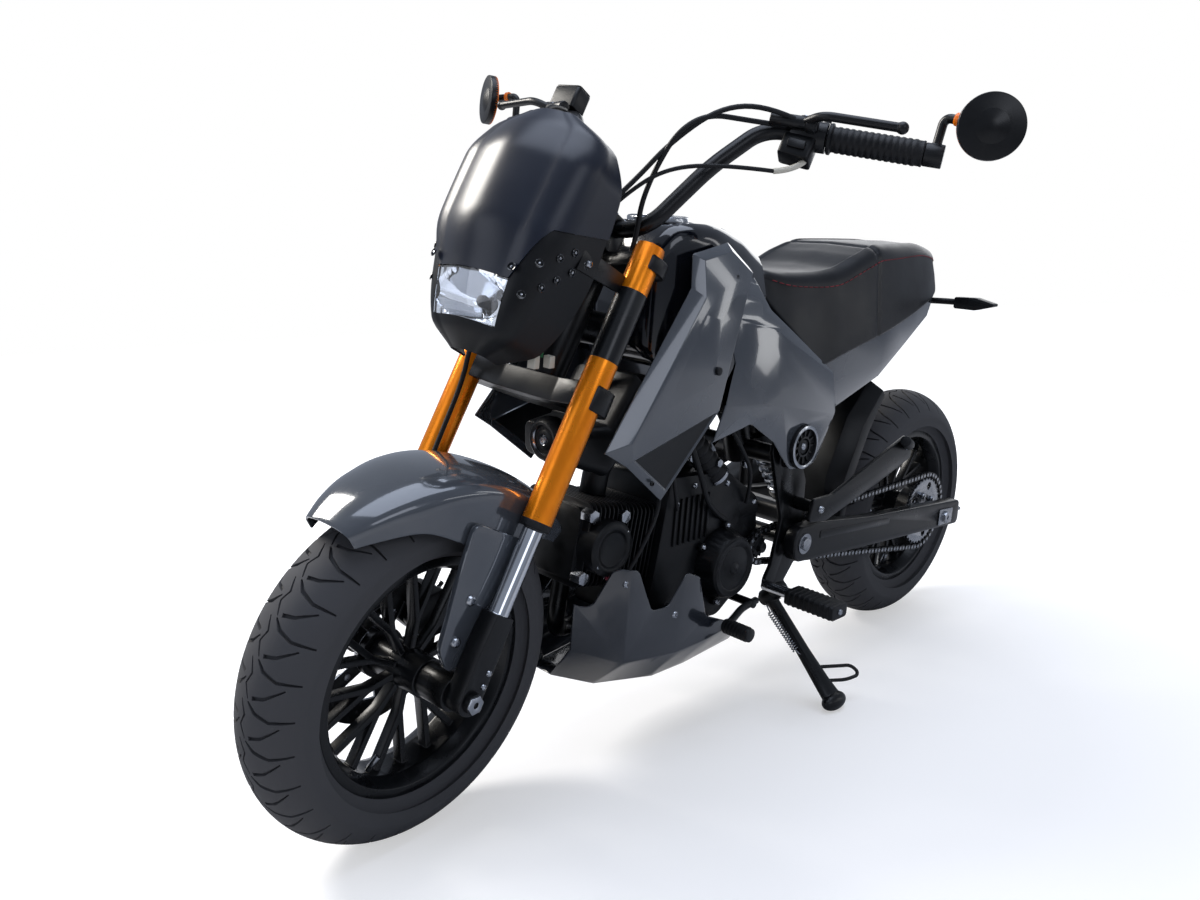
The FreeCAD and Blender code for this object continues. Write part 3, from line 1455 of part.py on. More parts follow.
# Rest pose: steering angle about the head, then lean, pitch and lift that put both tyres on the floor
steer_axis = fork_point(0, s.axis_offset, 1) - fork_point(0, s.axis_offset, 0)
STEER = Placement(Vector(), Rotation(steer_axis, s.rest_steer), fork_point(0, s.axis_offset, 0))


def lowest_of_wheel(pose, radius, crown):
    """Lowest height of a tyre whose axle frame is a placement and whose crown is an arc."""
    level = pose.Rotation.multVec(X_AXIS).z
    ring = radius - crown
    return pose.Base.z - ring * math.sqrt(1 - level**2) - crown


def resting():
    """Pose of the leaning bike with both tyres at height zero."""
    pose = Placement(Vector(), Rotation(Y_AXIS, s.rest_lean))
    for _ in range(4):
        front = lowest_of_wheel(
            pose * STEER * FRONT_AXLE, s.front_tyre_radius, s.front_crown_radius
        )
        rear = lowest_of_wheel(pose * REAR_AXLE, s.rear_tyre_radius, s.rear_crown_radius)
        pitch = math.degrees(math.atan2(front - rear, s.wheelbase))
        pose = Placement(Vector(0, 0, -front), Rotation()) * Placement(
            Vector(), Rotation(X_AXIS, pitch)
        ) * pose
    return pose


REST = resting()

# Side stand: leg with a wire loop, on a pivot bolt through the left plate
floor_row = REST.inverse().multVec(Vector(0, 0, s.stand_foot_radius))
floor_up = REST.Rotation.inverted().multVec(Z_AXIS)
foot_level = floor_row.z + (
    floor_up.x * (floor_row.x - s.stand_foot_across) + floor_up.y * (floor_row.y - s.stand_foot_station)
) / floor_up.z
foot_centre = Vector(s.stand_foot_across, s.stand_foot_station, foot_level)
leg_top = stand_pivot + stand_axis * (s.stand_eye_width / 2)
leg_run = foot_centre - leg_top
leg_run = (leg_run - stand_axis * leg_run.dot(stand_axis)).normalize()
knee = leg_top + leg_run * 70
leg = tube("side_stand_leg", [leg_top, knee, foot_centre], s.stand_radius, 0.4)
loop = tube(
    "side_stand_loop",
    [foot_centre + Vector(-26, 0, 26), foot_centre + Vector(-6, 44, 22),
     foot_centre + Vector(6, 66, 30), foot_centre + Vector(-10, 62, 42),
     foot_centre + Vector(-44, 0, 44)],
    3,
)
foot_ball = doc.addObject("Part::Sphere", "side_stand_foot")
bind(foot_ball, Radius="Sizes.stand_foot_radius")
foot_ball.Placement = Placement(foot_centre, Rotation())
eye = on_stand_axis("side_stand_eye", s.stand_eye_radius, 0, s.stand_eye_width)
eye_hole = on_stand_axis(
    "side_stand_eye_hole", s.stand_pivot_radius + s.seat_gap, -20, s.stand_eye_width + 40
)
node(
    cut("side_stand_solid", fuse("side_stand_blank", [leg, foot_ball, eye, loop]), [eye_hole]),
    "side_stand",
)

for item in nodes:
    own = REST * STEER if item.steers else REST
    item.thing.Placement = own * item.frame * item.thing.Placement
doc.recompute()

for thing in doc.Objects:
    if "Invalid" in thing.State or "Error" in thing.State:
        raise RuntimeError(f"{thing.Name} did not build: {thing.State}")
box = FreeCAD.BoundBox()
for item in nodes:
    shape = item.thing.Shape
    if shape.isNull() or not shape.isValid() or not shape.Solids:
        raise RuntimeError(f"{item.label} is not a valid solid")
    box.add(shape.optimalBoundingBox(False))
centre = Vector((box.XMin + box.XMax) / 2, (box.YMin + box.YMax) / 2, 0)
for item in nodes:
    item.thing.Placement = Placement(-centre, Rotation()) * item.thing.Placement
doc.recompute()

os.makedirs("parts", exist_ok=True)
for item in nodes:
    item.thing.Shape.exportStep(f"parts/{item.label}.step")
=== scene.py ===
"""Looks of a small street motorcycle that leans on its side stand in a pale studio.

Every piece is drawn in millimetres, either on the upright bike (left is +X, the tail is +Y) or in
the fork's own frame (origin on the front axle, Z up along the legs), and is then put into the
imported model's space through the axes of the model's own joints.
"""

import json
import logging
import math
from dataclasses import dataclass, field
from enum import Enum
from typing import Callable, Optional, Sequence

import bmesh
import bpy
from mathutils import Matrix, Vector

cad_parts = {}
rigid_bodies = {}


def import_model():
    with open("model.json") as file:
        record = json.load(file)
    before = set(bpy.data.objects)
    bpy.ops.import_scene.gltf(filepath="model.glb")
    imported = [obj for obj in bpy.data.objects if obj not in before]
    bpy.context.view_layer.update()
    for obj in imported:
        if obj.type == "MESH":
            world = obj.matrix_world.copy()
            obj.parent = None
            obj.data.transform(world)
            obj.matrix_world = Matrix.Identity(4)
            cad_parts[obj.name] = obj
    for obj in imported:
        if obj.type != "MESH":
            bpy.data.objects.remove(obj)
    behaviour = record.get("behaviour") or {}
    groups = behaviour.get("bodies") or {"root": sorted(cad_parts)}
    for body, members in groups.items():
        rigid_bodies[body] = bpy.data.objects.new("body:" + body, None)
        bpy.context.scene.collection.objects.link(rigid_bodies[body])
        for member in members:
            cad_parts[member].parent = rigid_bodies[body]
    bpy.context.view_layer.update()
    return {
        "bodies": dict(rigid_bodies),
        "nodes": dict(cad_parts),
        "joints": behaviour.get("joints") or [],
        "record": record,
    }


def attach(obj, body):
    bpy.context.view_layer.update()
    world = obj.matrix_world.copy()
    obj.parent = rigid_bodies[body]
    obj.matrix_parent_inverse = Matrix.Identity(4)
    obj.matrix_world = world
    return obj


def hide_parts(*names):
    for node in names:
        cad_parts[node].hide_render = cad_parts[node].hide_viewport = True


LOG = logging.getLogger("motorcycle")
MM = 0.001
RAKE = math.radians(28)
REAR_HUB = (0.0, 1230.0, 243.0)
SIDES = (("left", 1), ("right", -1))
Row = Sequence[float]
Mesh = bmesh.types.BMesh


class Space(Enum):
    """Frame in which a piece is drawn."""

    BIKE = "bike"
    FORK = "fork"


# Colour and material helpers


def linear(code: str) -> tuple[float, float, float, float]:
    """Turn an sRGB hex colour into linear light.

    Args:
        code: Six hex digits with a leading hash.

    Returns:
        Red, green, blue and an alpha of one.
    """
    parts = [int(code[i:i + 2], 16) / 255 for i in (1, 3, 5)]
    red, green, blue = (c / 12.92 if c <= 0.04045 else ((c + 0.055) / 1.055) ** 2.4 for c in parts)
    return red, green, blue, 1.0


def add_node(tree: bpy.types.NodeTree, kind: str, inputs: Optional[dict] = None, **settings: object) -> bpy.types.Node:
    """Add one shader node with its settings and its links.

    Args:
        tree: Node tree that takes the node.
        kind: Blender's name of the node type.
        inputs: Values or output sockets by input name or number.
        **settings: Properties of the node.

    Returns:
        The new node.
    """
    node = tree.nodes.new(kind)
    for key, value in settings.items():
        setattr(node, key, value)
    connect(tree, node, inputs or {})
    return node


def connect(tree: bpy.types.NodeTree, node: bpy.types.Node, inputs: dict) -> None:
    """Link or set a node's inputs.

    Args:
        tree: Node tree of the node.
        node: Node that takes the values.
        inputs: Values or output sockets by input name or number.
    """
    for key, value in inputs.items():
        if isinstance(value, bpy.types.NodeSocket):
            tree.links.new(value, node.inputs[key])
        else:
            node.inputs[key].default_value = value


def new_material(title: str) -> tuple[bpy.types.Material, bpy.types.NodeTree, bpy.types.Node]:
    """Return a new material with its node tree and its main shader."""
    material = bpy.data.materials.new(title)
    material.use_nodes = True
    tree = material.node_tree
    return material, tree, tree.nodes["Principled BSDF"]


def seen_ray(tree: bpy.types.NodeTree) -> bpy.types.NodeSocket:
    """Return a socket that is one for rays from the camera or through glass."""
    path = add_node(tree, "ShaderNodeLightPath")
    return add_node(tree, "ShaderNodeMath", {0: path.outputs["Is Camera Ray"], 1: path.outputs["Is Transmission Ray"]},
                    operation="MAXIMUM").outputs[0]


@dataclass(frozen=True)
class Coating:
    """Opaque surface with a mottled colour, an uneven gloss and a fine grain."""

    title: str
    colour: str
    shade: str
    rough: float
    spread: float = 0.05
    metal: float = 0.0
    blotch_mm: float = 60.0
    grain_mm: float = 1.2
    grain_depth_mm: float = 0.02
    coat: float = 0.0
    cells: bool = False
    shine: float = 0.5

    def build(self) -> bpy.types.Material:
        """Return the material with its nodes."""
        material, tree, shader = new_material(self.title)
        place = add_node(tree, "ShaderNodeTexCoord").outputs["Object"]
        wide, fine = (add_node(tree, "ShaderNodeMapping", {"Vector": place, "Scale": (1 / (size * MM),) * 3})
                      for size in (self.blotch_mm, self.grain_mm))
        blotch = add_node(tree, "ShaderNodeTexNoise", {"Vector": wide.outputs[0], "Scale": 1.0, "Detail": 4.0})
        tone = add_node(tree, "ShaderNodeMapRange", {
            "Value": blotch.outputs[0], "From Min": 0.35, "From Max": 0.65, "To Min": 0.0, "To Max": 1.0})
        mix = add_node(tree, "ShaderNodeMix", {
            "Factor": tone.outputs[0], 6: linear(self.colour), 7: linear(self.shade)}, data_type="RGBA")
        gloss = add_node(tree, "ShaderNodeMapRange", {
            "Value": blotch.outputs[0], "From Min": 0.3, "From Max": 0.7,
            "To Min": max(0.02, self.rough - self.spread), "To Max": self.rough + self.spread})
        if self.cells:
            grain = add_node(tree, "ShaderNodeTexVoronoi", {"Vector": fine.outputs[0], "Scale": 1.0})
        else:
            grain = add_node(tree, "ShaderNodeTexNoise", {"Vector": fine.outputs[0], "Scale": 1.0, "Detail": 2.0})
        bump = add_node(tree, "ShaderNodeBump", {
            "Height": grain.outputs[0], "Strength": 1.0, "Distance": self.grain_depth_mm * MM})
        connect(tree, shader, {
            "Base Color": mix.outputs[2], "Roughness": gloss.outputs[0], "Normal": bump.outputs[0],
            "Metallic": self.metal, "Coat Weight": self.coat, "Specular IOR Level": self.shine,
            "Coat Roughness": 0.04})
        return material


@dataclass(frozen=True)
class ClearPlastic:
    """Moulded transparent plastic, clear or tinted, with faint waves from the mould."""

    title: str
    colour: str
    rough: float = 0.02
    through: float = 1.0

    def build(self) -> bpy.types.Material:
        """Return the material with its nodes."""
        material, tree, shader = new_material(self.title)
        place = add_node(tree, "ShaderNodeTexCoord").outputs["Object"]
        wide = add_node(tree, "ShaderNodeMapping", {"Vector": place, "Scale": (45.0, 45.0, 45.0)})
        wave = add_node(tree, "ShaderNodeTexNoise", {"Vector": wide.outputs[0], "Scale": 1.0, "Detail": 1.0})
        bump = add_node(tree, "ShaderNodeBump", {"Height": wave.outputs[0], "Strength": 1.0, "Distance": 0.0002})
        connect(tree, shader, {
            "Base Color": linear(self.colour), "Roughness": self.rough, "Transmission Weight": self.through,
            "IOR": 1.49, "Normal": bump.outputs[0]})
        return material


class Finish(Enum):
    """Every finish on the bike."""

    # Tyre rubber: dull charcoal with a faint dusty mottle and a soft sheen on the crown
    TYRE = Coating("tyre_rubber", "#050607", "#0a0b0c", 0.42, 0.08, grain_mm=1.6, grain_depth_mm=0.05, shine=0.08)
    # Powder coated cast aluminium: near black with a soft highlight along every spoke
    WHEEL = Coating("wheel_powder_coat", "#08090b", "#0d0f12", 0.28, 0.05, grain_mm=0.9,
                    grain_depth_mm=0.015, shine=0.35)
    # Metallic grey paint under clear lacquer on ABS: bluish mid grey with sharp reflections
    GREY = Coating("grey_lacquered_panel", "#44484e", "#4d5157", 0.13, 0.03, 0.25, blotch_mm=140, coat=1.0,
                   grain_mm=0.8, grain_depth_mm=0.002)
    # Darker grey lacquer of the belly pan
    GRAPHITE = Coating("graphite_lacquered_panel", "#1d2026", "#262a31", 0.18, 0.04, 0.2, blotch_mm=120, coat=1.0,
                       grain_mm=0.8, grain_depth_mm=0.003)
    # Black lacquer over ABS: deep, slightly blue black that mirrors the studio
    PIANO = Coating("black_lacquered_shell", "#06080e", "#090c14", 0.12, 0.03, blotch_mm=160, coat=0.6,
                    grain_mm=1.0, grain_depth_mm=0.001)
    # Visor: navy black paint, its gloss softened by a light haze
    VISOR = Coating("navy_black_visor", "#050d1e", "#081224", 0.34, 0.04, blotch_mm=120, coat=0.0, grain_mm=1.0,
                    grain_depth_mm=0.002)
    # Moulded black plastic with a fine spark-eroded texture that breaks the highlights
    PLASTIC = Coating("textured_black_plastic", "#0a0b0d", "#101215", 0.4, 0.06, grain_mm=0.7,
                      grain_depth_mm=0.03, shine=0.28)
    # Anodised aluminium tube: warm orange gold with a very fine grain
    GOLD = Coating("orange_anodised_aluminium", "#ff9412", "#f2840a", 0.28, 0.05, 0.66, blotch_mm=50,
                   grain_mm=0.6, grain_depth_mm=0.004)
    # Black film over the fork tube: a little glossier than the clamps
    SLEEVE = Coating("black_sleeve_film", "#08090b", "#0d0f12", 0.25, 0.05, grain_mm=2.0, grain_depth_mm=0.01)
    # Satin black paint on steel: frame, stand, hangers and levers
    STEEL_BLACK = Coating("satin_black_steel", "#060708", "#0b0c0f", 0.32, 0.07, grain_mm=0.9, grain_depth_mm=0.02,
                          shine=0.35)
    # Sand cast aluminium in heat resistant black: coarse skin, patchy gloss
    CAST = Coating("black_cast_aluminium", "#08090b", "#111316", 0.38, 0.1, 0.2, blotch_mm=30, grain_mm=1.4,
                   grain_depth_mm=0.06, shine=0.3)
    # Hard chrome: clear mirror with a whisper of a grain
    CHROME = Coating("hard_chrome", "#c9ccd2", "#d8dadd", 0.07, 0.03, 1.0, grain_mm=0.5, grain_depth_mm=0.001)
    # Machined steel: discs, axle nuts and chain rollers
    STEEL = Coating("machined_steel", "#8f9297", "#a6a8ac", 0.26, 0.08, 1.0, blotch_mm=12, grain_mm=0.6,
                    grain_depth_mm=0.008)
    # Die cast aluminium left bright: caps, nuts, flanges and covers' rims
    ALLOY = Coating("bright_cast_alloy", "#b2b5ba", "#9a9da3", 0.22, 0.07, 1.0, blotch_mm=14, grain_mm=0.8,
                    grain_depth_mm=0.01)
    # Black seat vinyl: pebbled leather grain with a soft blue sheen from the sky
    VINYL = Coating("pebbled_black_vinyl", "#0b0c0f", "#111216", 0.4, 0.06, grain_mm=1.5, grain_depth_mm=0.09,
                    cells=True, shine=0.35)
    # Twisted polyester thread in dark red
    THREAD = Coating("red_seam_thread", "#8e1424", "#64101a", 0.7, 0.05, grain_mm=0.6, grain_depth_mm=0.08)
    # Moulded rubber: grips, pegs and hoses
    RUBBER = Coating("moulded_rubber", "#0a0b0d", "#111215", 0.5, 0.07, grain_mm=1.0, grain_depth_mm=0.05, shine=0.3)
    # Pale nylon cable jacket
    CREAM = Coating("pale_cable_jacket", "#cfcabb", "#bdb8aa", 0.45, 0.05, grain_mm=1.0, grain_depth_mm=0.02)
    # Pink plug cap on the ignition lead
    PINK = Coating("pink_plug_cap", "#c8566a", "#b5475c", 0.4, 0.05, grain_mm=1.0, grain_depth_mm=0.02)
    # Green sheath of an earth lead
    GREEN = Coating("green_lead_sheath", "#1f7a43", "#186436", 0.5, 0.05, grain_mm=1.0, grain_depth_mm=0.02)
    # Mirror silver behind glass
    MIRROR = Coating("mirror_silver", "#e6e9ee", "#dfe3e8", 0.03, 0.01, 1.0, grain_mm=1.0, grain_depth_mm=0.0005)
    # Orange lacquer on the mirror's ring and the fork's rebound caps
    ORANGE = Coating("orange_lacquer", "#ef7a10", "#dd6a08", 0.25, 0.04, grain_mm=1.0, grain_depth_mm=0.004)
    # Dark dial glass over the gauge
    DIAL = Coating("dark_dial_glass", "#05070a", "#090c12", 0.06, 0.02, coat=1.0, grain_mm=1.0, grain_depth_mm=0.0005)
    # Polycarbonate lens of the headlight
    LENS = ClearPlastic("clear_polycarbonate", "#f4f8ff")
    # Amber and red lenses
    AMBER = ClearPlastic("amber_polycarbonate", "#ff9a26", 0.08, 0.6)
    RED = ClearPlastic("red_polycarbonate", "#b3131a", 0.08, 0.45)

    def material(self) -> bpy.types.Material:
        """Return this finish's material, built on first use."""
        found = bpy.data.materials.get(self.value.title)
        return found or self.value.build()


# Geometry helpers, all in millimetres


def turned(axis: Row, at: Row = (0, 0, 0)) -> Matrix:
    """Return the matrix that takes Z to an axis and the origin to a point."""
    return Matrix.Translation(at) @ Vector((0, 0, 1)).rotation_difference(axis).to_matrix().to_4x4()


def moved(x: float, y: float, z: float) -> Matrix:
    """Return the matrix that moves a shape by three distances."""
    return Matrix.Translation((x, y, z))


def side_plane(x: float, hand: int = 1) -> Matrix:
    """Return the matrix that lays an outline of rear and up on a side plane, its Z outwards."""
    return Matrix(((0, 0, hand, x), (1, 0, 0, 0), (0, 1, 0, 0), (0, 0, 0, 1)))


def rear_plane(y: float, z: float) -> Matrix:
    """Return the matrix that lays an outline of across and up on a plane that looks to the rear."""
    return Matrix(((1, 0, 0, 0), (0, 0, 1, y), (0, 1, 0, z), (0, 0, 0, 1)))


def circle(count: int, radius: float, offset: float = 0.0) -> list[tuple[float, float]]:
    """Return evenly spaced points of a circle, the first of them at an angle."""
    angles = [step * math.tau / count + offset for step in range(count)]
    return [(radius * math.cos(angle), radius * math.sin(angle)) for angle in angles]


def oblong(half_x: float, half_y: float, radius: float) -> list[Row]:
    """Return the outline of a rectangle about nought, with a radius on each corner."""
    return [(x * half_x, y * half_y, radius) for x, y in ((-1, -1), (1, -1), (1, 1), (-1, 1))]


def spline(rows: Sequence[Row], key: float) -> list[float]:
    """Read a table of rows along its first column with a smooth curve.

    Args:
        rows: Rows sorted by their first value.
        key: Place along the first column.

    Returns:
        The other values of the row at that place.
    """
    count = len(rows)
    low = max(0, min(count - 2, sum(1 for row in rows if row[0] <= key) - 1))
    span = rows[low + 1][0] - rows[low][0]
    t = max(0.0, min(1.0, (key - rows[low][0]) / span))
    out = []
    for column in range(1, len(rows[0])):
        def slope(index: int) -> float:
            """Return the limited slope of this column at a row."""
            if index in (0, count - 1):
                a, b = (0, 1) if index == 0 else (count - 2, count - 1)
                return (rows[b][column] - rows[a][column]) / (rows[b][0] - rows[a][0])
            before = (rows[index][column] - rows[index - 1][column]) / (rows[index][0] - rows[index - 1][0])
            after = (rows[index + 1][column] - rows[index][column]) / (rows[index + 1][0] - rows[index][0])
            return 0.0 if before * after <= 0 else 2 * before * after / (before + after)
        a, b = rows[low][column], rows[low + 1][column]
        ma, mb = slope(low) * span, slope(low + 1) * span
        out.append((2 * t**3 - 3 * t**2 + 1) * a + (t**3 - 2 * t**2 + t) * ma
                   + (3 * t**2 - 2 * t**3) * b + (t**3 - t**2) * mb)
    return out


def ring(corners: Sequence[Row], per_corner: int = 7) -> list[tuple[float, float]]:
    """Round the corners of a closed outline.

    Args:
        corners: Rows of two coordinates and a corner radius.
        per_corner: Points on each rounded corner.

    Returns:
        Points round the outline, the same number for each corner.
    """
    points = []
    for index, (a, b, radius) in enumerate(corners):
        here = Vector((a, b))
        back = (Vector(corners[index - 1][:2]) - here).normalized() * radius
        ahead = (Vector(corners[(index + 1) % len(corners)][:2]) - here).normalized() * radius
        for step in range(per_corner):
            t = step / (per_corner - 1)
            point = here + back * (1 - t) ** 2 + ahead * t**2
            points.append((point.x, point.y))
    return points


def round_edges(bm: Mesh, rims: list, width: float, segments: int = 2, clamp: bool = True) -> None:
    """Round some edges of a mesh to a width."""
    bmesh.ops.bevel(bm, geom=rims, offset=width, offset_type="OFFSET", segments=segments, profile=0.5,
                    affect="EDGES", clamp_overlap=clamp, material=-1)


def face_out(bm: Mesh, axis: Row) -> None:
    """Turn all faces of an open skin so that the one furthest along an axis looks along it."""
    bmesh.ops.recalc_face_normals(bm, faces=bm.faces)
    way = Vector(axis)
    tip = max(bm.faces, key=lambda face: face.calc_center_median().dot(way))
    if tip.normal.dot(way) < 0:
        bmesh.ops.reverse_faces(bm, faces=bm.faces)


def split(bm: Mesh, point: Row, normal: Row) -> None:
    """Cut every face along a plane and keep both sides."""
    bmesh.ops.bisect_plane(bm, geom=bm.verts[:] + bm.edges[:] + bm.faces[:], plane_co=point, plane_no=normal)


def patch(bm: Mesh, across: int, along: int, shape: Callable[[float, float], Vector]) -> list:
    """Bend a flat grid into a surface.

    Args:
        bm: Mesh that takes the surface.
        across: Faces in the first direction.
        along: Faces in the second direction.
        shape: Point for two parameters that run from nought to one.

    Returns:
        The new vertices.
    """
    made = bmesh.ops.create_grid(bm, x_segments=across, y_segments=along, size=0.5)["verts"]
    for vert in made:
        vert.co = shape(vert.co.x + 0.5, vert.co.y + 0.5)
    bmesh.ops.remove_doubles(bm, verts=made, dist=0.01)
    return [vert for vert in made if vert.is_valid]


def spun(bm: Mesh, profile: Sequence[Row], steps: int, place: Matrix = Matrix(), index: int = 0) -> None:
    """Spin an outline of radius and height rows about Z, and place it.

    Args:
        bm: Mesh that takes the turned shape.
        profile: Radius and height of each point.
        steps: Faces round the axis.
        place: Matrix for the finished shape.
        index: Material slot of its faces.
    """
    before = set(bm.faces)
    verts = [bm.verts.new((radius, 0, height)) for radius, height in profile]
    edges = [bm.edges.new(pair) for pair in zip(verts, verts[1:])]
    bmesh.ops.spin(bm, geom=verts + edges, cent=(0, 0, 0), axis=(0, 0, 1), angle=math.tau, steps=steps,
                   use_merge=True, use_duplicate=False)
    faces = [face for face in bm.faces if face not in before]
    made = list({vert for face in faces for vert in face.verts})
    bmesh.ops.remove_doubles(bm, verts=made, dist=0.01)
    faces = [face for face in bm.faces if face not in before]
    bmesh.ops.recalc_face_normals(bm, faces=faces)
    for face in faces:
        face.material_index = index
    bmesh.ops.transform(bm, matrix=place, verts=list({vert for face in faces for vert in face.verts}))


def slab(bm: Mesh, outline: Sequence[Row], depth: float, place: Matrix, edge: float = 0.8, index: int = 0) -> None:
    """Extrude an outline with bevelled rims.

    Args:
        bm: Mesh that takes the slab.
        outline: Two coordinates and a corner radius for each corner.
        depth: Thickness along the local Z, from nought.
        place: Matrix for the finished slab.
        edge: Width of the bevel, nought for none.
        index: Material slot of its faces.
    """
    rows = [tuple(row) + ((0.01,) if len(row) == 2 else ()) for row in outline]
    verts = [bm.verts.new((x, y, 0)) for x, y in ring(rows, 4)]
    before = set(bm.faces)
    base = bm.faces.new(verts)
    top = bmesh.ops.extrude_face_region(bm, geom=[base])["geom"]
    bmesh.ops.translate(bm, vec=(0, 0, depth), verts=[item for item in top if isinstance(item, bmesh.types.BMVert)])
    faces = [face for face in bm.faces if face not in before]
    bmesh.ops.remove_doubles(bm, verts=list({v for f in faces for v in f.verts}), dist=0.03)
    faces = [face for face in bm.faces if face not in before]
    bmesh.ops.recalc_face_normals(bm, faces=faces)
    if edge:
        round_edges(bm, [e for e in {rim for f in faces for rim in f.edges} if e.calc_face_angle(0) > 1.2], edge)
    faces = [face for face in bm.faces if face not in before]
    for face in faces:
        face.material_index = index
    bmesh.ops.transform(bm, matrix=place, verts=list({v for f in faces for v in f.verts}))


def drum(bm: Mesh, radius: float, depth: float, place: Matrix, edge: float = 0.8, sides: int = 32,
         index: int = 0, top: Optional[float] = None) -> None:
    """Add a cylinder or cone from nought to its depth along the local Z, with rounded rims.

    Args:
        bm: Mesh that takes the drum.
        radius: Radius at the base.
        depth: Height.
        place: Matrix for the finished drum.
        edge: Width of the rims' rounding.
        sides: Faces round the drum.
        index: Material slot of its faces.
        top: Radius at the top, if it differs.
    """
    upper = radius if top is None else top
    spun(bm, [(0, 0), (radius - edge, 0), (radius - edge * 0.3, edge * 0.3), (radius, edge), (upper, depth - edge),
              (upper - edge * 0.3, depth - edge * 0.3), (upper - edge, depth), (0, depth)], sides, place, index)


def bolt(bm: Mesh, at: Row, axis: Row, radius: float = 5.0, index: int = 0) -> None:
    """Add a domed socket screw that stands on a point and looks along an axis."""
    dome = [(radius * wide, radius * high) for wide, high in ((1, 0.2), (0.8, 0.6), (0.5, 0.72), (0.42, 0.3), (0, 0.3))]
    spun(bm, [(0, -1), (radius, -1)] + dome, 14, turned(axis, at), index)


def hexagon(bm: Mesh, at: Row, axis: Row, radius: float, depth: float, index: int = 0) -> None:
    """Add a hexagon nut that stands on a point and looks along an axis."""
    slab(bm, circle(6, radius), depth, turned(axis, at), 0.8, index)


def placed(name: str, data: bpy.types.ID) -> bpy.types.Object:
    """Return a new object that holds some data, linked to the scene."""
    piece = bpy.data.objects.new(name, data)
    bpy.context.scene.collection.objects.link(piece)
    return piece


def evaluated(holder: bpy.types.Object) -> bpy.types.Mesh:
    """Return a new mesh of an object as it is drawn."""
    return bpy.data.meshes.new_from_object(holder.evaluated_get(bpy.context.evaluated_depsgraph_get()))


def tube(name: str, points: Sequence[Row], radius: float, round_steps: int, along_steps: int = 6) -> bpy.types.Curve:
    """Make the curve of a round bar or cable with closed ends, smooth if it has more than two points.

    Args:
        name: Name of the curve.
        points: Places along it.
        radius: Its radius, in the unit of the points.
        round_steps: Fineness of its section.
        along_steps: Fineness of its line.

    Returns:
        The curve.
    """
    smooth = len(points) > 2
    data = bpy.data.curves.new(name, "CURVE")
    data.dimensions = "3D"
    data.bevel_depth = radius
    data.bevel_resolution = round_steps
    data.use_fill_caps = True
    data.resolution_u = along_steps if smooth else 1
    line = data.splines.new("NURBS" if smooth else "POLY")
    line.points.add(len(points) - 1)
    for spot, point in zip(line.points, points):
        spot.co = (*point, 1)
    if smooth:
        line.order_u = 3
        line.use_endpoint_u = True
    return data


def wire(bm: Mesh, points: Sequence[Row], radius: float, index: int = 0, round_steps: int = 3) -> None:
    """Add a round bar or cable along some points."""
    data = tube("wire", points, radius, round_steps)
    holder = placed("wire", data)
    mesh = evaluated(holder)
    before = set(bm.faces)
    bm.from_mesh(mesh)
    for face in bm.faces:
        if face not in before:
            face.material_index = index
    bpy.data.objects.remove(holder)
    bpy.data.curves.remove(data)
    bpy.data.meshes.remove(mesh)


def coil(start: Vector, end: Vector, radius: float, turns: float, per_turn: int = 14) -> list[Vector]:
    """Return points of a helix between two points."""
    place = turned((end - start).normalized(), start)
    run = (end - start).length
    count = int(turns * per_turn)
    return [place @ Vector((radius * math.cos(k / per_turn * math.tau), radius * math.sin(k / per_turn * math.tau),
                            run * k / count)) for k in range(count + 1)]


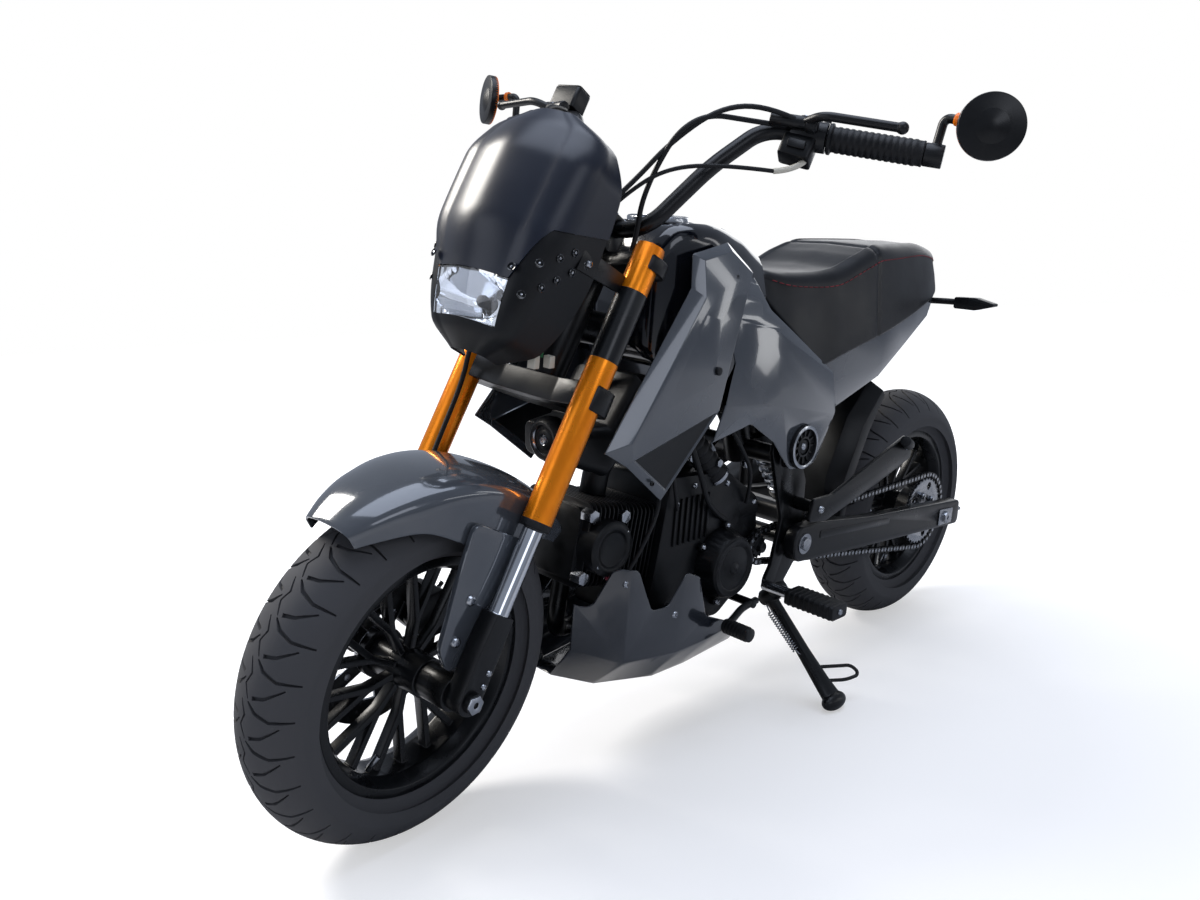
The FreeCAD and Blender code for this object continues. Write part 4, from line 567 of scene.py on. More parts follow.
class Workshop:
    """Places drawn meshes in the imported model's space and makes them ride."""

    weld: float = 0.002
    flat: float = math.radians(0.6)
    corner: float = math.radians(32)
    spike: float = 0.3
    riders: dict = {Space.BIKE: "frame", Space.FORK: "steering"}

    def __init__(self, frame: dict) -> None:
        """Work out the bike's and the fork's frames from the model's joints."""
        joints = {joint["name"]: joint for joint in frame["joints"]}
        along = Vector(joints["steering_head"]["axis"]).normalized()
        across = Vector(joints["rear_wheel_spin"]["axis"]).normalized()
        behind = along.cross(across).normalized()
        rear = math.sin(RAKE) * along + math.cos(RAKE) * behind
        up = math.cos(RAKE) * along - math.sin(RAKE) * behind
        self.nodes = frame["nodes"]
        bike = Matrix((across, rear, up)).transposed().to_4x4()
        hub = Vector(joints["rear_wheel_spin"]["pos_m"])
        start = Matrix.Translation([-part for part in REAR_HUB])
        axle = Vector(joints["front_wheel_spin"]["axis"]).normalized()
        fork = Matrix((axle, along.cross(axle), along)).transposed().to_4x4()
        self.spaces = {
            Space.BIKE: Matrix.Translation(hub) @ bike @ Matrix.Scale(MM, 4) @ start,
            Space.FORK: Matrix.Translation(joints["front_wheel_spin"]["pos_m"]) @ fork @ Matrix.Scale(MM, 4)}

    def finish(self, bm: Mesh, name: str, space: Space, finishes: Sequence[Finish], nodes: Sequence[str] = (),
               sharp: float = 34.0, body: str = "") -> bpy.types.Object:
        """Make an object of a mesh drawn in millimetres.

        Args:
            bm: The drawn mesh, used up here.
            name: Name of the piece.
            space: Frame in which it was drawn.
            finishes: Its finishes, in the order of the faces' slots.
            nodes: CAD nodes that it stands for.
            sharp: Edges steeper than this many degrees stay sharp.
            body: Body that it rides on, the space's own if empty.

        Returns:
            The finished piece.
        """
        body = body or self.riders[space]
        bmesh.ops.transform(bm, matrix=self.spaces[space], verts=bm.verts)
        data = bpy.data.meshes.new(name)
        bm.to_mesh(data)
        bm.free()
        for finish in finishes:
            data.materials.append(finish.material())
        data.shade_smooth()
        data.set_sharp_from_angle(angle=math.radians(sharp))
        piece = placed(name, data)
        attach(piece, body)
        if nodes:
            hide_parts(*nodes)
        LOG.info("%s: %d faces on %s", name, len(data.polygons), body)
        return piece

    def refined(self, node: str, finishes: Sequence[Finish], edge: float,
                extra: Optional[Callable[[Mesh], None]] = None, pick: Optional[Callable[[Vector, Vector], int]] = None,
                space: Space = Space.BIKE, body: str = "") -> bpy.types.Object:
        """Copy a CAD node, round its sharp edges and dress it.

        Args:
            node: Name of the CAD node.
            finishes: Finishes in slot order.
            edge: Width of the rounding.
            extra: Adds more mesh.
            pick: Slot for a face's middle and normal.
            space: Frame that pick and extra work in.
            body: Body that it rides on, the space's own if empty.

        Returns:
            The piece that stands for the node.
        """
        bm = bmesh.new()
        bm.from_mesh(self.nodes[node].data)
        bmesh.ops.transform(bm, matrix=self.spaces[space].inverted(), verts=bm.verts)
        bmesh.ops.remove_doubles(bm, verts=bm.verts, dist=self.weld)
        bmesh.ops.dissolve_limit(bm, angle_limit=self.flat, use_dissolve_boundaries=False, verts=bm.verts,
                                 edges=bm.edges, delimit=set())
        plain = bm.copy()
        reach = max(vert.co.length for vert in bm.verts)
        rims = [e for e in bm.edges if e.is_manifold and self.corner < e.calc_face_angle(0)]
        round_edges(bm, rims, edge, clamp=False)
        if max(vert.co.length for vert in bm.verts) > reach + self.spike:
            LOG.info("%s keeps its plain edges", node)
            bm, plain = plain, bm
        plain.free()
        for face in bm.faces:
            face.material_index = pick(face.calc_center_median(), face.normal) if pick else 0
        if extra:
            extra(bm)
        return self.finish(bm, node + "_dressed", space, finishes, [node], body=body)


# The bike's sub-assemblies


@dataclass
class Wheel:
    """One wheel: grooved tyre, cast rim, drilled disc and its small parts."""

    shop: Workshop
    name: str
    body: str
    outer: float
    half: float
    crown: float
    rim_half: float
    centre: Vector
    space: Space
    bead: float = 153.0
    flange: float = 163.0
    pitches: int = 30
    over: float = 3.0
    cut: float = 4.0

    def place(self) -> Matrix:
        """Return the matrix that takes Z to the axle and the origin to the wheel's middle."""
        return turned((1, 0, 0), self.centre)

    def crown_radius(self, x: float) -> float:
        """Return the tread's radius at a distance from the middle plane."""
        return self.outer - self.crown + math.sqrt(self.crown**2 - x * x)

    def on_tread(self, x: float, angle: float, proud: float) -> Vector:
        """Return a point above or below the tread at a distance from the middle and an angle."""
        centre = self.outer - self.crown
        lean = math.asin(x / self.crown)
        radius = centre + (self.crown + proud) * math.cos(lean)
        return Vector((radius * math.cos(angle), radius * math.sin(angle), (self.crown + proud) * math.sin(lean)))

    def groove(self, bm: Mesh, track: Sequence[Row]) -> None:
        """Add one cutter along a track of rows: distance from the middle, angle, half width."""
        loops = []
        spots = [self.on_tread(x, a, 0) for x, a, _ in track]
        for step, (x, a, half) in enumerate(track):
            ahead = (spots[min(step + 1, len(spots) - 1)] - spots[max(step - 1, 0)]).normalized()
            up = (self.on_tread(x, a, 1) - spots[step]).normalized()
            side = up.cross(ahead).normalized() * half
            corners = [bm.verts.new(spots[step] + side * hand + up * lift)
                       for hand, lift in ((1, self.over), (-1, self.over), (-0.7, -self.cut), (0.7, -self.cut))]
            loops.append([bm.edges.new((corners[k], corners[(k + 1) % 4])) for k in range(4)])
        for first, second in zip(loops, loops[1:]):
            bmesh.ops.bridge_loops(bm, edges=first + second)
        for loop in (loops[0], loops[-1]):
            bmesh.ops.contextual_create(bm, geom=loop)

    def tracks(self) -> list[list[Row]]:
        """Return the tracks of every groove: two bent sipes a side and a zigzag on the crown."""
        pitch = math.tau / self.pitches
        rows = []
        for step in range(self.pitches):
            for hand in (1, -1):
                at = (step + (0.5 if hand < 0 else 0)) * pitch
                rows.append([(hand * 6, at, 1.2), (hand * 17, at + pitch * 0.22, 3.0),
                             (hand * 34, at + pitch * 0.36, 2.5), (hand * (self.half - 5), at + pitch * 0.3, 1.3)])
                rows.append([(hand * 11, at + pitch * 0.9, 3.0), (hand * 26, at + pitch * 0.82, 2.5),
                             (hand * (self.half - 15), at + pitch * 0.5, 1.2)])
            rows.append([(-5, step * pitch, 0.9), (3, (step + 0.35) * pitch, 1.8), (-3, (step + 0.62) * pitch, 1.8),
                         (5, (step + 0.95) * pitch, 0.9)])
        return rows

    def tyre(self) -> None:
        """Build the tyre: turned section with bead rings, then its grooves cut in."""
        reach = self.half - 1
        shoulder = self.crown_radius(reach)
        crown = [(self.crown_radius(reach * k / 14), reach * k / 14) for k in range(15)]
        wall = [(shoulder - 5, reach + 0.5), (shoulder - 8, reach - 0.3), (shoulder - 22, reach + 0.2),
                (self.flange + 15, self.rim_half + 8.5), (self.flange + 13.6, self.rim_half + 7.0),
                (self.flange + 8, self.rim_half + 4.5), (self.flange + 6.6, self.rim_half + 2.8),
                (self.flange + 1.2, self.rim_half), (self.bead, self.rim_half - 5.2)]
        half = crown + wall
        profile = [(r, -x) for r, x in reversed(half)] + half[1:]
        bm = bmesh.new()
        spun(bm, profile + [profile[0]], 180)
        bm = self.grooved(bm)
        bmesh.ops.transform(bm, matrix=self.place(), verts=bm.verts)
        self.shop.finish(bm, f"{self.name}_tyre_tread", self.space, [Finish.TYRE], [f"{self.name}_tyre"], 28,
                         body=self.body)

    def grooved(self, bm: Mesh) -> Mesh:
        """Cut every groove out of a closed tyre and return the cut mesh."""
        cutters = bmesh.new()
        for track in self.tracks():
            self.groove(cutters, track)
        bmesh.ops.recalc_face_normals(cutters, faces=cutters.faces)
        holders = []
        for part, label in ((bm, "tyre_blank"), (cutters, "groove_cutters")):
            data = bpy.data.meshes.new(label)
            part.to_mesh(data)
            part.free()
            holders.append(placed(label, data))
        cut = holders[0].modifiers.new("grooves", "BOOLEAN")
        cut.operation = "DIFFERENCE"
        cut.solver = "EXACT"
        cut.use_self = True
        cut.object = holders[1]
        result = bmesh.new()
        result.from_mesh(holders[0].evaluated_get(bpy.context.evaluated_depsgraph_get()).data)
        for holder in holders:
            data = holder.data
            bpy.data.objects.remove(holder)
            bpy.data.meshes.remove(data)
        return result

    def disc(self) -> None:
        """Dress the brake disc, with black plugs in its drillings as painted shade of the bores, and carrier buttons on
        both faces.
        """
        def extra(bm: Mesh) -> None:
            """Add the drillings' black plugs, painted shade for the bores, and the buttons."""
            for ring_at, count, size in ((78, 18, 3.4), (89, 24, 3.0), (98, 24, 2.6)):
                for y, z in circle(count, ring_at, math.pi / count if ring_at == 89 else 0.0):
                    # A satin black slug fills each drilling through the disc: painted shade where the bore would be
                    # dark
                    drum(bm, size, 4.16, turned((1, 0, 0), self.centre + Vector((-62.08, y, z))), 0.3, 12, 1)
            for z, y in circle(5, 54):
                drum(bm, 5, 7.2, turned((1, 0, 0), self.centre + Vector((-63.6, y, z))), 0.8, 18, 0)
        self.shop.refined(f"{self.name}_disc", [Finish.STEEL, Finish.STEEL_BLACK], 0.5, extra,
                          pick=lambda at, normal: 1 if (at - self.centre).length < 66 else 0, space=self.space,
                          body=self.body)

    def rim(self) -> None:
        """Dress the cast rim and add its valve and hub rings."""
        def extra(bm: Mesh) -> None:
            """Add the valve stem and hub rings."""
            foot = self.centre + Vector((10, 0, -139))
            drum(bm, 4.2, 24, turned((0.35, 0, 1), foot), 0.8, 14, 1)
            for side in (1, -1):
                spun(bm, [(14, 0), (26, 0), (26, 4), (22, 5.5), (14, 5.5)], 40,
                     turned((side, 0, 0), self.centre + Vector((side * 40.6, 0, 0))), 0)
        self.shop.refined(f"{self.name}_rim", [Finish.WHEEL, Finish.STEEL], 1.3, extra, space=self.space,
                          body=self.body)

    def build(self) -> None:
        """Build the wheel."""
        self.tyre()
        self.rim()
        self.disc()


@dataclass
class Fork:
    """Fork legs, clamps, axle lugs and calliper, in the fork's frame."""

    shop: Workshop
    spread: float = 110.0
    sleeve: tuple[float, float] = (460.0, 559.0)

    def leg(self, side: str, hand: int) -> None:
        """Dress one outer tube, with its black film between the clamps and its cap."""
        across = hand * self.spread

        def extra(bm: Mesh) -> None:
            """Add the film, the wiper ring and the top cap."""
            low, high = self.sleeve
            place = moved(across, 0, 0)
            spun(bm, [(20.05, low), (20.5, low + 0.4), (20.5, high - 0.4), (20.05, high)], 48, place, 1)
            spun(bm, [(13.6, 227), (19, 227), (20.6, 229), (20.6, 236), (20, 237)], 48, place, 2)
            spun(bm, [(19.4, 621.5), (18.8, 625), (15, 626), (14.4, 623.4), (9.5, 623.4)], 40, place, 0)
            hexagon(bm, (across, 0, 621), (0, 0, 1), 9.6, 6.5, 3)
            drum(bm, 3.2, 4, moved(across, 0, 627), 0.5, 16, 4)
        self.shop.refined(f"fork_{side}", [Finish.GOLD, Finish.SLEEVE, Finish.RUBBER, Finish.ALLOY, Finish.ORANGE], 1.2,
                          extra, space=Space.FORK)

    def lower(self, side: str, hand: int) -> None:
        """Dress one stanchion and its axle lug, with pinch bolts."""
        def extra(bm: Mesh) -> None:
            """Add the pinch bolts and the guard bolt."""
            for along in (22, 40):
                bolt(bm, (hand * (self.spread + 14), 10, along), (hand, 0, 0), 4.4, 2)
            if hand > 0:
                spun(bm, [(0, 8), (7, 8), (13, 6.4), (13.5, 2), (13.5, 0)], 32,
                     turned((1, 0, 0), (self.spread + 14, 0, 0)), 1)
        self.shop.refined(f"fork_lower_{side}", [Finish.CHROME, Finish.STEEL_BLACK, Finish.ALLOY], 1.0, extra,
                          pick=lambda at, normal: 0 if at.z > 112.5 else 1, space=Space.FORK)

    def clamps(self) -> None:
        """Dress both clamps, the stem and the risers, with their bolts."""
        narrow_from, narrow_share = 124.0, 0.26

        def extra(bm: Mesh) -> None:
            """Add the bolts and the stem nut, and draw the clamps' ends in to pass the shrouds at full lock."""
            for hand in (1, -1):
                for along in (401, 416, 602):
                    drum(bm, 4.6, 3.5, turned((0, 1, 0), (hand * 70, 15, along)), 0.8, 18, 1)
                for shift in (-8, 8):
                    for back in (-12, 12):
                        bolt(bm, (hand * 28 + shift, 6 + back * 0.9, 662.4), (0, 0, 1), 3.6, 1)
                slab(bm, oblong(13, 19, 3), 0.8, moved(hand * 28, 6, 645.6), 0.2, 2)
            hexagon(bm, (0, 30, 611.5), (0, 0, 1), 17, 11, 1)
            for vert in bm.verts:
                past = max(0.0, abs(vert.co.x) - narrow_from)
                vert.co.x -= math.copysign(narrow_share * past, vert.co.x)
        self.shop.refined("fork_clamps", [Finish.STEEL_BLACK, Finish.ALLOY, Finish.PLASTIC], 1.6, extra,
                          space=Space.FORK)

    def calliper(self) -> None:
        """Dress the front calliper with its bolts, bleed nipple and pad pin."""
        def extra(bm: Mesh) -> None:
            """Add the small parts."""
            for across, along in ((34, 62), (70, 58), (66, 90)):
                bolt(bm, (-86, across, along), (-1, 0, 0), 5, 1)
            drum(bm, 4, 14, turned((0, 0.4, 1), (-70, 74, 98)), 0.6, 16, 1)
            spun(bm, [(9, 0), (15, 0), (15, 3), (9, 3)], 28, turned((-1, 0, 0), (-85, 52, 74)), 0)
        self.shop.refined("front_caliper", [Finish.CAST, Finish.ALLOY], 1.4, extra, space=Space.FORK)

    def build(self) -> None:
        """Build the fork."""
        for side, hand in SIDES:
            self.leg(side, hand)
            self.lower(side, hand)
        self.clamps()
        self.calliper()


@dataclass
class Fender:
    """Front fender: a smooth crown over the tyre and two bolted side plates."""

    shop: Workshop
    wall: float = 3.0
    shoulder: float = 0.62
    rows: tuple = ((-58, 266, 42, 28), (-50, 271, 58, 40), (-40, 276, 72, 54), (-28, 280, 82, 80),
                   (-14, 283, 87, 104), (2, 284, 88, 112), (14, 284, 82, 60), (24, 283, 72, 40))

    def shape(self, u: float, v: float) -> Vector:
        """Return a point of the crown: u runs across, v along the tyre."""
        start, stop = self.rows[0][0], self.rows[-1][0]
        angle = start + (stop - start) * v
        crown, half, drop = spline(self.rows, angle)
        t = abs(2 * u - 1)
        hand = 1 if u > 0.5 else -1
        bend = min(drop * 0.6, 34.0)
        if t < self.shoulder:
            sweep = t / self.shoulder * math.pi / 2
            x, low = half * math.sin(sweep) ** 0.9, bend * (1 - math.cos(sweep) ** 0.8)
        else:
            x, low = half, bend + (drop - bend) * (t - self.shoulder) / (1 - self.shoulder)
        radius = crown - low
        turn = math.radians(angle)
        return Vector((hand * x, radius * math.sin(turn), radius * math.cos(turn)))

    def build(self) -> None:
        """Build the crown, its rolled edge, the side plates and their bolts."""
        bm = bmesh.new()
        patch(bm, 44, 40, self.shape)
        face_out(bm, (0, 0, 1))
        bmesh.ops.solidify(bm, geom=bm.faces, thickness=self.wall)
        rims = [e for e in bm.edges if e.calc_face_angle(0) > 1.0]
        round_edges(bm, rims, 0.9)
        for hand in (1, -1):
            outline = [(-86, 206, 14), (-74, 128, 12), (-56, 44, 10), (-26, 22, 10), (12, 60, 10), (14, 210, 6)]
            slab(bm, outline, 8.8, side_plane(85.6 if hand > 0 else -94.4), 1.6, 0)
            for across, along in ((-42, 116), (-38, 62)):
                bolt(bm, (hand * 94.4, across, along), (hand, 0, 0), 7.2, 1)
        self.shop.finish(bm, "front_fender_dressed", Space.FORK, [Finish.GREY, Finish.ALLOY], ["front_fender"], 40)


@dataclass
class Mask:
    """Headlight shell with its visor, perforated sides, lens and reflector, in the fork's frame."""

    shop: Workshop
    wall: float = 3.0
    face_share: float = 0.3
    flank_share: float = 0.62
    lens_foot: tuple[float, float] = (430.0, 55.0)
    window: tuple[float, float] = (431.0, 489.0)
    window_back: float = -130.0
    visor_lift: float = 2.6
    bands: tuple = ((398, 30, -136, -118, -96), (428, 72, -160, -128, -76), (496, 92, -184, -140, -66),
                    (560, 106, -202, -140, -78), (640, 108, -200, -140, -92), (684, 94, -186, -134, -112),
                    (716, 40, -164, -146, -128))

    def shape(self, u: float, v: float) -> Vector:
        """Return a point of the shell: u runs across the front from side to side, v upwards."""
        low, high = self.bands[0][0], self.bands[-1][0]
        level = low + (high - low) * v
        half, front, flank, back = spline(self.bands, level)
        t = abs(2 * u - 1)
        hand = 1 if u > 0.5 else -1
        if t < self.face_share:
            k = t / self.face_share
            x, y = half * 0.6 * k, front + (flank - front) * 0.3 * k**1.8
        elif t < self.flank_share:
            k = (t - self.face_share) / (self.flank_share - self.face_share)
            x = half * (0.6 + 0.4 * math.sin(k * math.pi / 2))
            y = front + (flank - front) * (0.3 + 0.7 * (1 - math.cos(k * math.pi / 2)))
        else:
            k = (t - self.flank_share) / (1 - self.flank_share)
            x, y = half - 0.6 * math.sin(k * math.pi), flank + (back - flank) * k
        return Vector((hand * x, y, level))

    def front_at(self, x: float, level: float) -> float:
        """Return how far forward the shell's outside lies at a place on the lens."""
        half, front, flank, _ = spline(self.bands, level)
        return front + (flank - front) * 0.3 * min(1.0, abs(x) / (0.6 * half)) ** 1.8

    def lens_half(self, level: float) -> float:
        """Return half the lens's width at a level."""
        low, half = self.lens_foot
        return half + (level - low) / 60 * 7

    def shell(self) -> None:
        """Build the shell with its window, raised visor, holes and brackets."""
        bm = bmesh.new()
        patch(bm, 72, 64, self.shape)
        low, high = self.window
        for level in self.window:
            split(bm, (0, 0, level), (0, 0, 1))
        for hand in (1, -1):
            split(bm, (hand * self.lens_foot[1], 0, self.lens_foot[0]), (1, 0, -hand * 7 / 60))
        doomed = []
        for face in bm.faces:
            at = face.calc_center_median()
            if low < at.z < high and abs(at.x) < self.lens_half(at.z) and at.y < self.window_back:
                doomed.append(face)
        bmesh.ops.delete(bm, geom=doomed, context="FACES")
        face_out(bm, (0, -1, 0))
        crease, lean = Vector((0, -85, 590)), Vector((0, -0.366, 0.931))
        split(bm, crease, lean)
        for hand in (1, -1):
            split(bm, (hand * 62, 0, high), (hand * 0.891, 0, -0.453))
        bmesh.ops.remove_doubles(bm, verts=bm.verts, dist=0.7)
        bmesh.ops.dissolve_degenerate(bm, dist=0.05, edges=bm.edges)
        visor = []
        for face in bm.faces:
            at = face.calc_center_median()
            over = (at - crease).dot(lean) > 0
            ahead = at.y < self.window_back and abs(at.x) < 62 + (at.z - high) * 0.508
            face.material_index = 3
            if at.z > high and (over or ahead):
                visor.append(face)
        bm.normal_update()
        plate = bmesh.ops.duplicate(bm, geom=visor)["geom"]
        for vert in [part for part in plate if isinstance(part, bmesh.types.BMVert)]:
            vert.co += vert.normal * self.visor_lift
        for face in [part for part in plate if isinstance(part, bmesh.types.BMFace)]:
            face.material_index = 4
        bmesh.ops.solidify(bm, geom=bm.faces, thickness=self.wall)
        for hand in (1, -1):
            self.side_holes(bm, hand)
            slab(bm, [(-112, 536), (-19.5, 548), (-19.5, 572), (-112, 566)], 5, side_plane(hand * 103 - 2.5), 0.8, 1)
            bolt(bm, (hand * 105.6, -96, 551), (hand, 0, 0), 5, 2)
        self.shop.finish(bm, "headlight_shell_dressed", Space.FORK,
                         [Finish.PIANO, Finish.STEEL_BLACK, Finish.ALLOY, Finish.PLASTIC, Finish.VISOR],
                         ["headlight_shell"], 30)

    def side_holes(self, bm: Mesh, hand: int) -> None:
        """Add both rows of round recesses with a bright pin in each."""
        upper = [(-108 - 17.5 * k, 568 - 17 * k) for k in range(1, 5)]
        lower = [(-98 - 14.5 * k, 548 - 18 * k) for k in range(5)]
        for across, along in upper + lower:
            half, front, flank, _ = spline(self.bands, along)
            share = (across - front) / (flank - front)
            turn = math.acos(1 - (min(1.0, max(0.34, share)) - 0.3) / 0.7)
            out = Vector((hand * math.sin(turn) / (0.4 * half), -math.cos(turn) / (0.7 * (flank - front)), 0))
            out.normalize()
            at = Vector((hand * half * (0.6 + 0.4 * math.sin(turn)), across, along)) - out * 0.3
            place = turned(out, at)
            spun(bm, [(3.9, 0.2), (5.4, 0.2), (5.7, 1.1), (5.0, 1.7), (4.2, 1.3), (3.6, -0.4), (0, -0.4)], 20, place, 0)
            spun(bm, [(0, 1.9), (1.5, 1.5), (2.1, 0.4), (2.1, -0.6)], 12, place, 2)

    def lamp(self) -> None:
        """Build the lens, the reflector and the bulb's cap."""
        bm = bmesh.new()

        def glass(u: float, v: float) -> Vector:
            """Return a point of the lens's outside."""
            level = 431.5 + 57 * v
            x = (2 * u - 1) * (self.lens_half(level) - 0.6)
            swell = 1.5 * (1 - (2 * u - 1) ** 2) * (1 - (2 * v - 1) ** 2)
            return Vector((x, self.front_at(x, level) + 0.8 - swell, level))

        patch(bm, 24, 14, glass)
        face_out(bm, (0, -1, 0))
        bmesh.ops.solidify(bm, geom=bm.faces, thickness=2.2)
        self.shop.finish(bm, "headlight_lens", Space.FORK, [Finish.LENS], ["headlight"], 40)
        bm = bmesh.new()

        def bowl(u: float, v: float) -> Vector:
            """Return a point of the reflector, a deep smooth bowl behind the lens."""
            a, b = 2 * u - 1, 2 * v - 1
            reach = min(1.0, math.hypot(a * 0.92, b * 0.98))
            level = 432.5 + 55 * v
            x = a * (self.lens_half(level) - 1.6)
            rim = self.front_at(x, level) + 5
            return Vector((x, rim + (-121 - rim) * (1 - reach**2.4), level))

        patch(bm, 36, 20, bowl)
        bmesh.ops.recalc_face_normals(bm, faces=bm.faces)
        bulb = turned((0, -1, 0), (16, -124, 460))
        spun(bm, [(0, 30), (6, 29), (8, 25), (8, 22), (6.5, 8), (12, 0)], 28, bulb, 1)
        spun(bm, [(20, 0), (17, 6), (13, 8), (12, 3)], 28, bulb, 0)
        self.shop.finish(bm, "headlight_reflector", Space.FORK, [Finish.CHROME, Finish.PLASTIC], (), 40)

    def build(self) -> None:
        """Build the mask."""
        self.shell()
        self.lamp()


@dataclass
class Bodywork:
    """Tank, shrouds, side covers, tail, belly pan and the duct with its horn."""

    shop: Workshop
    lap: float = 42.0
    tank_rows: tuple = ((366, 50, 632, 44, 752), (372, 62, 622, 58, 776), (404, 92, 606, 78, 811),
                        (440, 100, 634, 88, 815), (470, 104, 660, 90, 814), (540, 98, 682, 82, 800),
                        (610, 90, 700, 70, 772))
    shroud_corners: tuple = (
        (214, 520, 137), (384, 728, 120), (392, 774, 112), (470, 790, 109), (530, 752, 111),
        (251, 531, 150), (398, 716, 137), (405, 766, 124), (468, 778, 121), (517, 747, 124),
        (430, 556, 150), (256, 507, 150), (337, 449, 141), (250, 498, 143), (330, 436, 138), (440, 556, 142))
    shroud_faces: tuple = ((0, 5, 6, 1), (1, 6, 7, 2), (2, 7, 8, 3), (3, 8, 9, 4), (4, 9, 10, 15),
                           (5, 11, 10, 9, 8, 7, 6), (11, 12, 10), (0, 13, 11, 5), (13, 14, 12, 11), (14, 15, 10, 12))

    def tank(self) -> None:
        """Build the tank with its filler ring and seam."""
        def skin(u: float, v: float) -> Vector:
            """Return a point of the tank: u round the section, v along it."""
            start, stop = self.tank_rows[0][0], self.tank_rows[-1][0]
            station = start + (stop - start) * v
            low, base, high, top = spline(self.tank_rows, station)
            points = ring([(-low, base, 14), (low, base, 14), (high, top, 30), (-high, top, 30)], 9)
            x, z = points[round(u * len(points)) % len(points)]
            end = min(1.0, min(station - start, stop - station) / 6)
            scale = 0.93 + 0.07 * math.sqrt(1 - (1 - end) ** 2)
            middle = (base + top) / 2
            lift = 4 * max(0.0, 1 - (x / high) ** 2) if z > top - 1 else 0
            return Vector((x * scale, station, middle + (z + lift - middle) * scale - (4 if lift else 0)))
        bm = bmesh.new()
        patch(bm, 36, 40, skin)
        bmesh.ops.holes_fill(bm, edges=[e for e in bm.edges if e.is_boundary])
        bmesh.ops.recalc_face_normals(bm, faces=bm.faces)
        spun(bm, [(47, -3), (52, -2), (53, 1.4), (50, 2.6), (47, 1.5)], 48, moved(0, 440, 811), 1)
        for x, y in circle(6, 49.8, 0.3):
            bolt(bm, (x, 440 + y, 812.6), (0, 0, 1), 2.2, 2)
        self.shop.finish(bm, "tank_dressed", Space.BIKE, [Finish.PIANO, Finish.PLASTIC, Finish.ALLOY], ["tank"], 30)

        def extra(cap: Mesh) -> None:
            """Add the cap's flap, lock and rim."""
            rim = [(30, 13.6), (44, 13.4), (44.5, 14.6), (40, 15.8), (31, 15.6)]
            spun(cap, rim, 48, moved(0, 440, 806), 0)
            slab(cap, oblong(12, 26, 4), 3, moved(0, 440, 819.4), 1, 0)
            spun(cap, [(4, 2.6), (8, 2.6), (8, 3.6), (4, 3.6)], 20, moved(0, 432, 819.4), 1)
        self.shop.refined("tank_cap", [Finish.ALLOY, Finish.PLASTIC], 1.6, extra)

    def shroud(self, side: str, hand: int) -> None:
        """Build one faceted shroud with its dark inset."""
        bm = bmesh.new()
        verts = [bm.verts.new((x, y, z)) for y, z, x in self.shroud_corners]
        faces = [bm.faces.new([verts[k] for k in loop]) for loop in self.shroud_faces]
        bmesh.ops.recalc_face_normals(bm, faces=bm.faces)
        if faces[5].normal.x < 0:
            bmesh.ops.reverse_faces(bm, faces=bm.faces)
        inset = bmesh.ops.inset_region(bm, faces=[faces[6]], thickness=2.2, depth=-2.4, use_even_offset=True)
        for face in inset["faces"]:
            face.material_index = 0
        faces[6].material_index = 1
        bmesh.ops.solidify(bm, geom=bm.faces, thickness=3)
        rims = [e for e in bm.edges if e.is_manifold and e.calc_face_angle(0) > 0.12]
        round_edges(bm, rims, 1.5, 3)
        drum(bm, 6, 12, turned((1, 0, 0), (134, 430, 612)), 0.8, 20, 1)
        for y, z in ((300, 468), (478, 742)):
            bolt(bm, (146 if y < 400 else 125, y, z), (1, 0, 0.1), 3.6, 2)
        if hand < 0:
            bmesh.ops.scale(bm, vec=(-1, 1, 1), verts=bm.verts)
            bmesh.ops.reverse_faces(bm, faces=bm.faces)
        self.shop.finish(bm, f"shroud_{side}_dressed", Space.BIKE, [Finish.GREY, Finish.PLASTIC, Finish.STEEL_BLACK],
                         [f"shroud_{side}"], 24)

    def covers(self) -> None:
        """Dress the side covers, their round caps and the tail cowls."""
        for side, hand in SIDES:
            def cover(bm: Mesh) -> None:
                """Lap the front edge under the shroud."""
                for vert in bm.verts:
                    edge = 492 + (vert.co.z - 500) / 252 * 48
                    if vert.co.z > 497 and abs(vert.co.y - edge) < 14:
                        vert.co.y -= self.lap
            self.shop.refined(f"side_cover_{side}", [Finish.GREY], 1.5, cover)

            def cowl(bm: Mesh) -> None:
                """Lap the front edge under the side cover."""
                for vert in bm.verts:
                    low = max(0.0, min(1.0, (628 - vert.co.z) / 68))
                    edge = 730 + 62 * low + max(0.0, 560 - vert.co.z) / 60 * 28
                    if vert.co.z > 495 and abs(vert.co.y - edge) < 12:
                        vert.co.y -= 26 * low + max(0.0, 560 - vert.co.z) / 60 * 16
            self.shop.refined(f"tail_cowl_{side}", [Finish.GREY], 1.2, cowl)

        def caps(bm: Mesh) -> None:
            """Add the bright ring, the fan slots and the centre bolt."""
            for hand in (1, -1):
                place = side_plane(hand * 126, hand) @ moved(692, 463, 0)
                spun(bm, [(30.4, 5.4), (35.6, 5.2), (36.2, 6.4), (33, 7.6), (30.6, 6.8)], 56, place, 1)
                spun(bm, [(14, 0.2), (17, 0.4), (17.4, 3), (14, 3.6)], 32, place, 2)
                spun(bm, [(0, 4.2), (5, 3.8), (6.5, 2), (6.5, 0)], 24, place, 1)
                for step in range(12):
                    arm = place @ Matrix.Rotation(step * math.tau / 12, 4, "Z") @ moved(18, -1.6, 0.1)
                    slab(bm, [(0, 0, 0.5), (12, 0, 0.5), (12, 3.2, 0.5), (0, 3.2, 0.5)], 2.6, arm, 0.4, 2)
        self.shop.refined("side_caps", [Finish.PLASTIC, Finish.ALLOY, Finish.STEEL_BLACK], 0.8, caps)

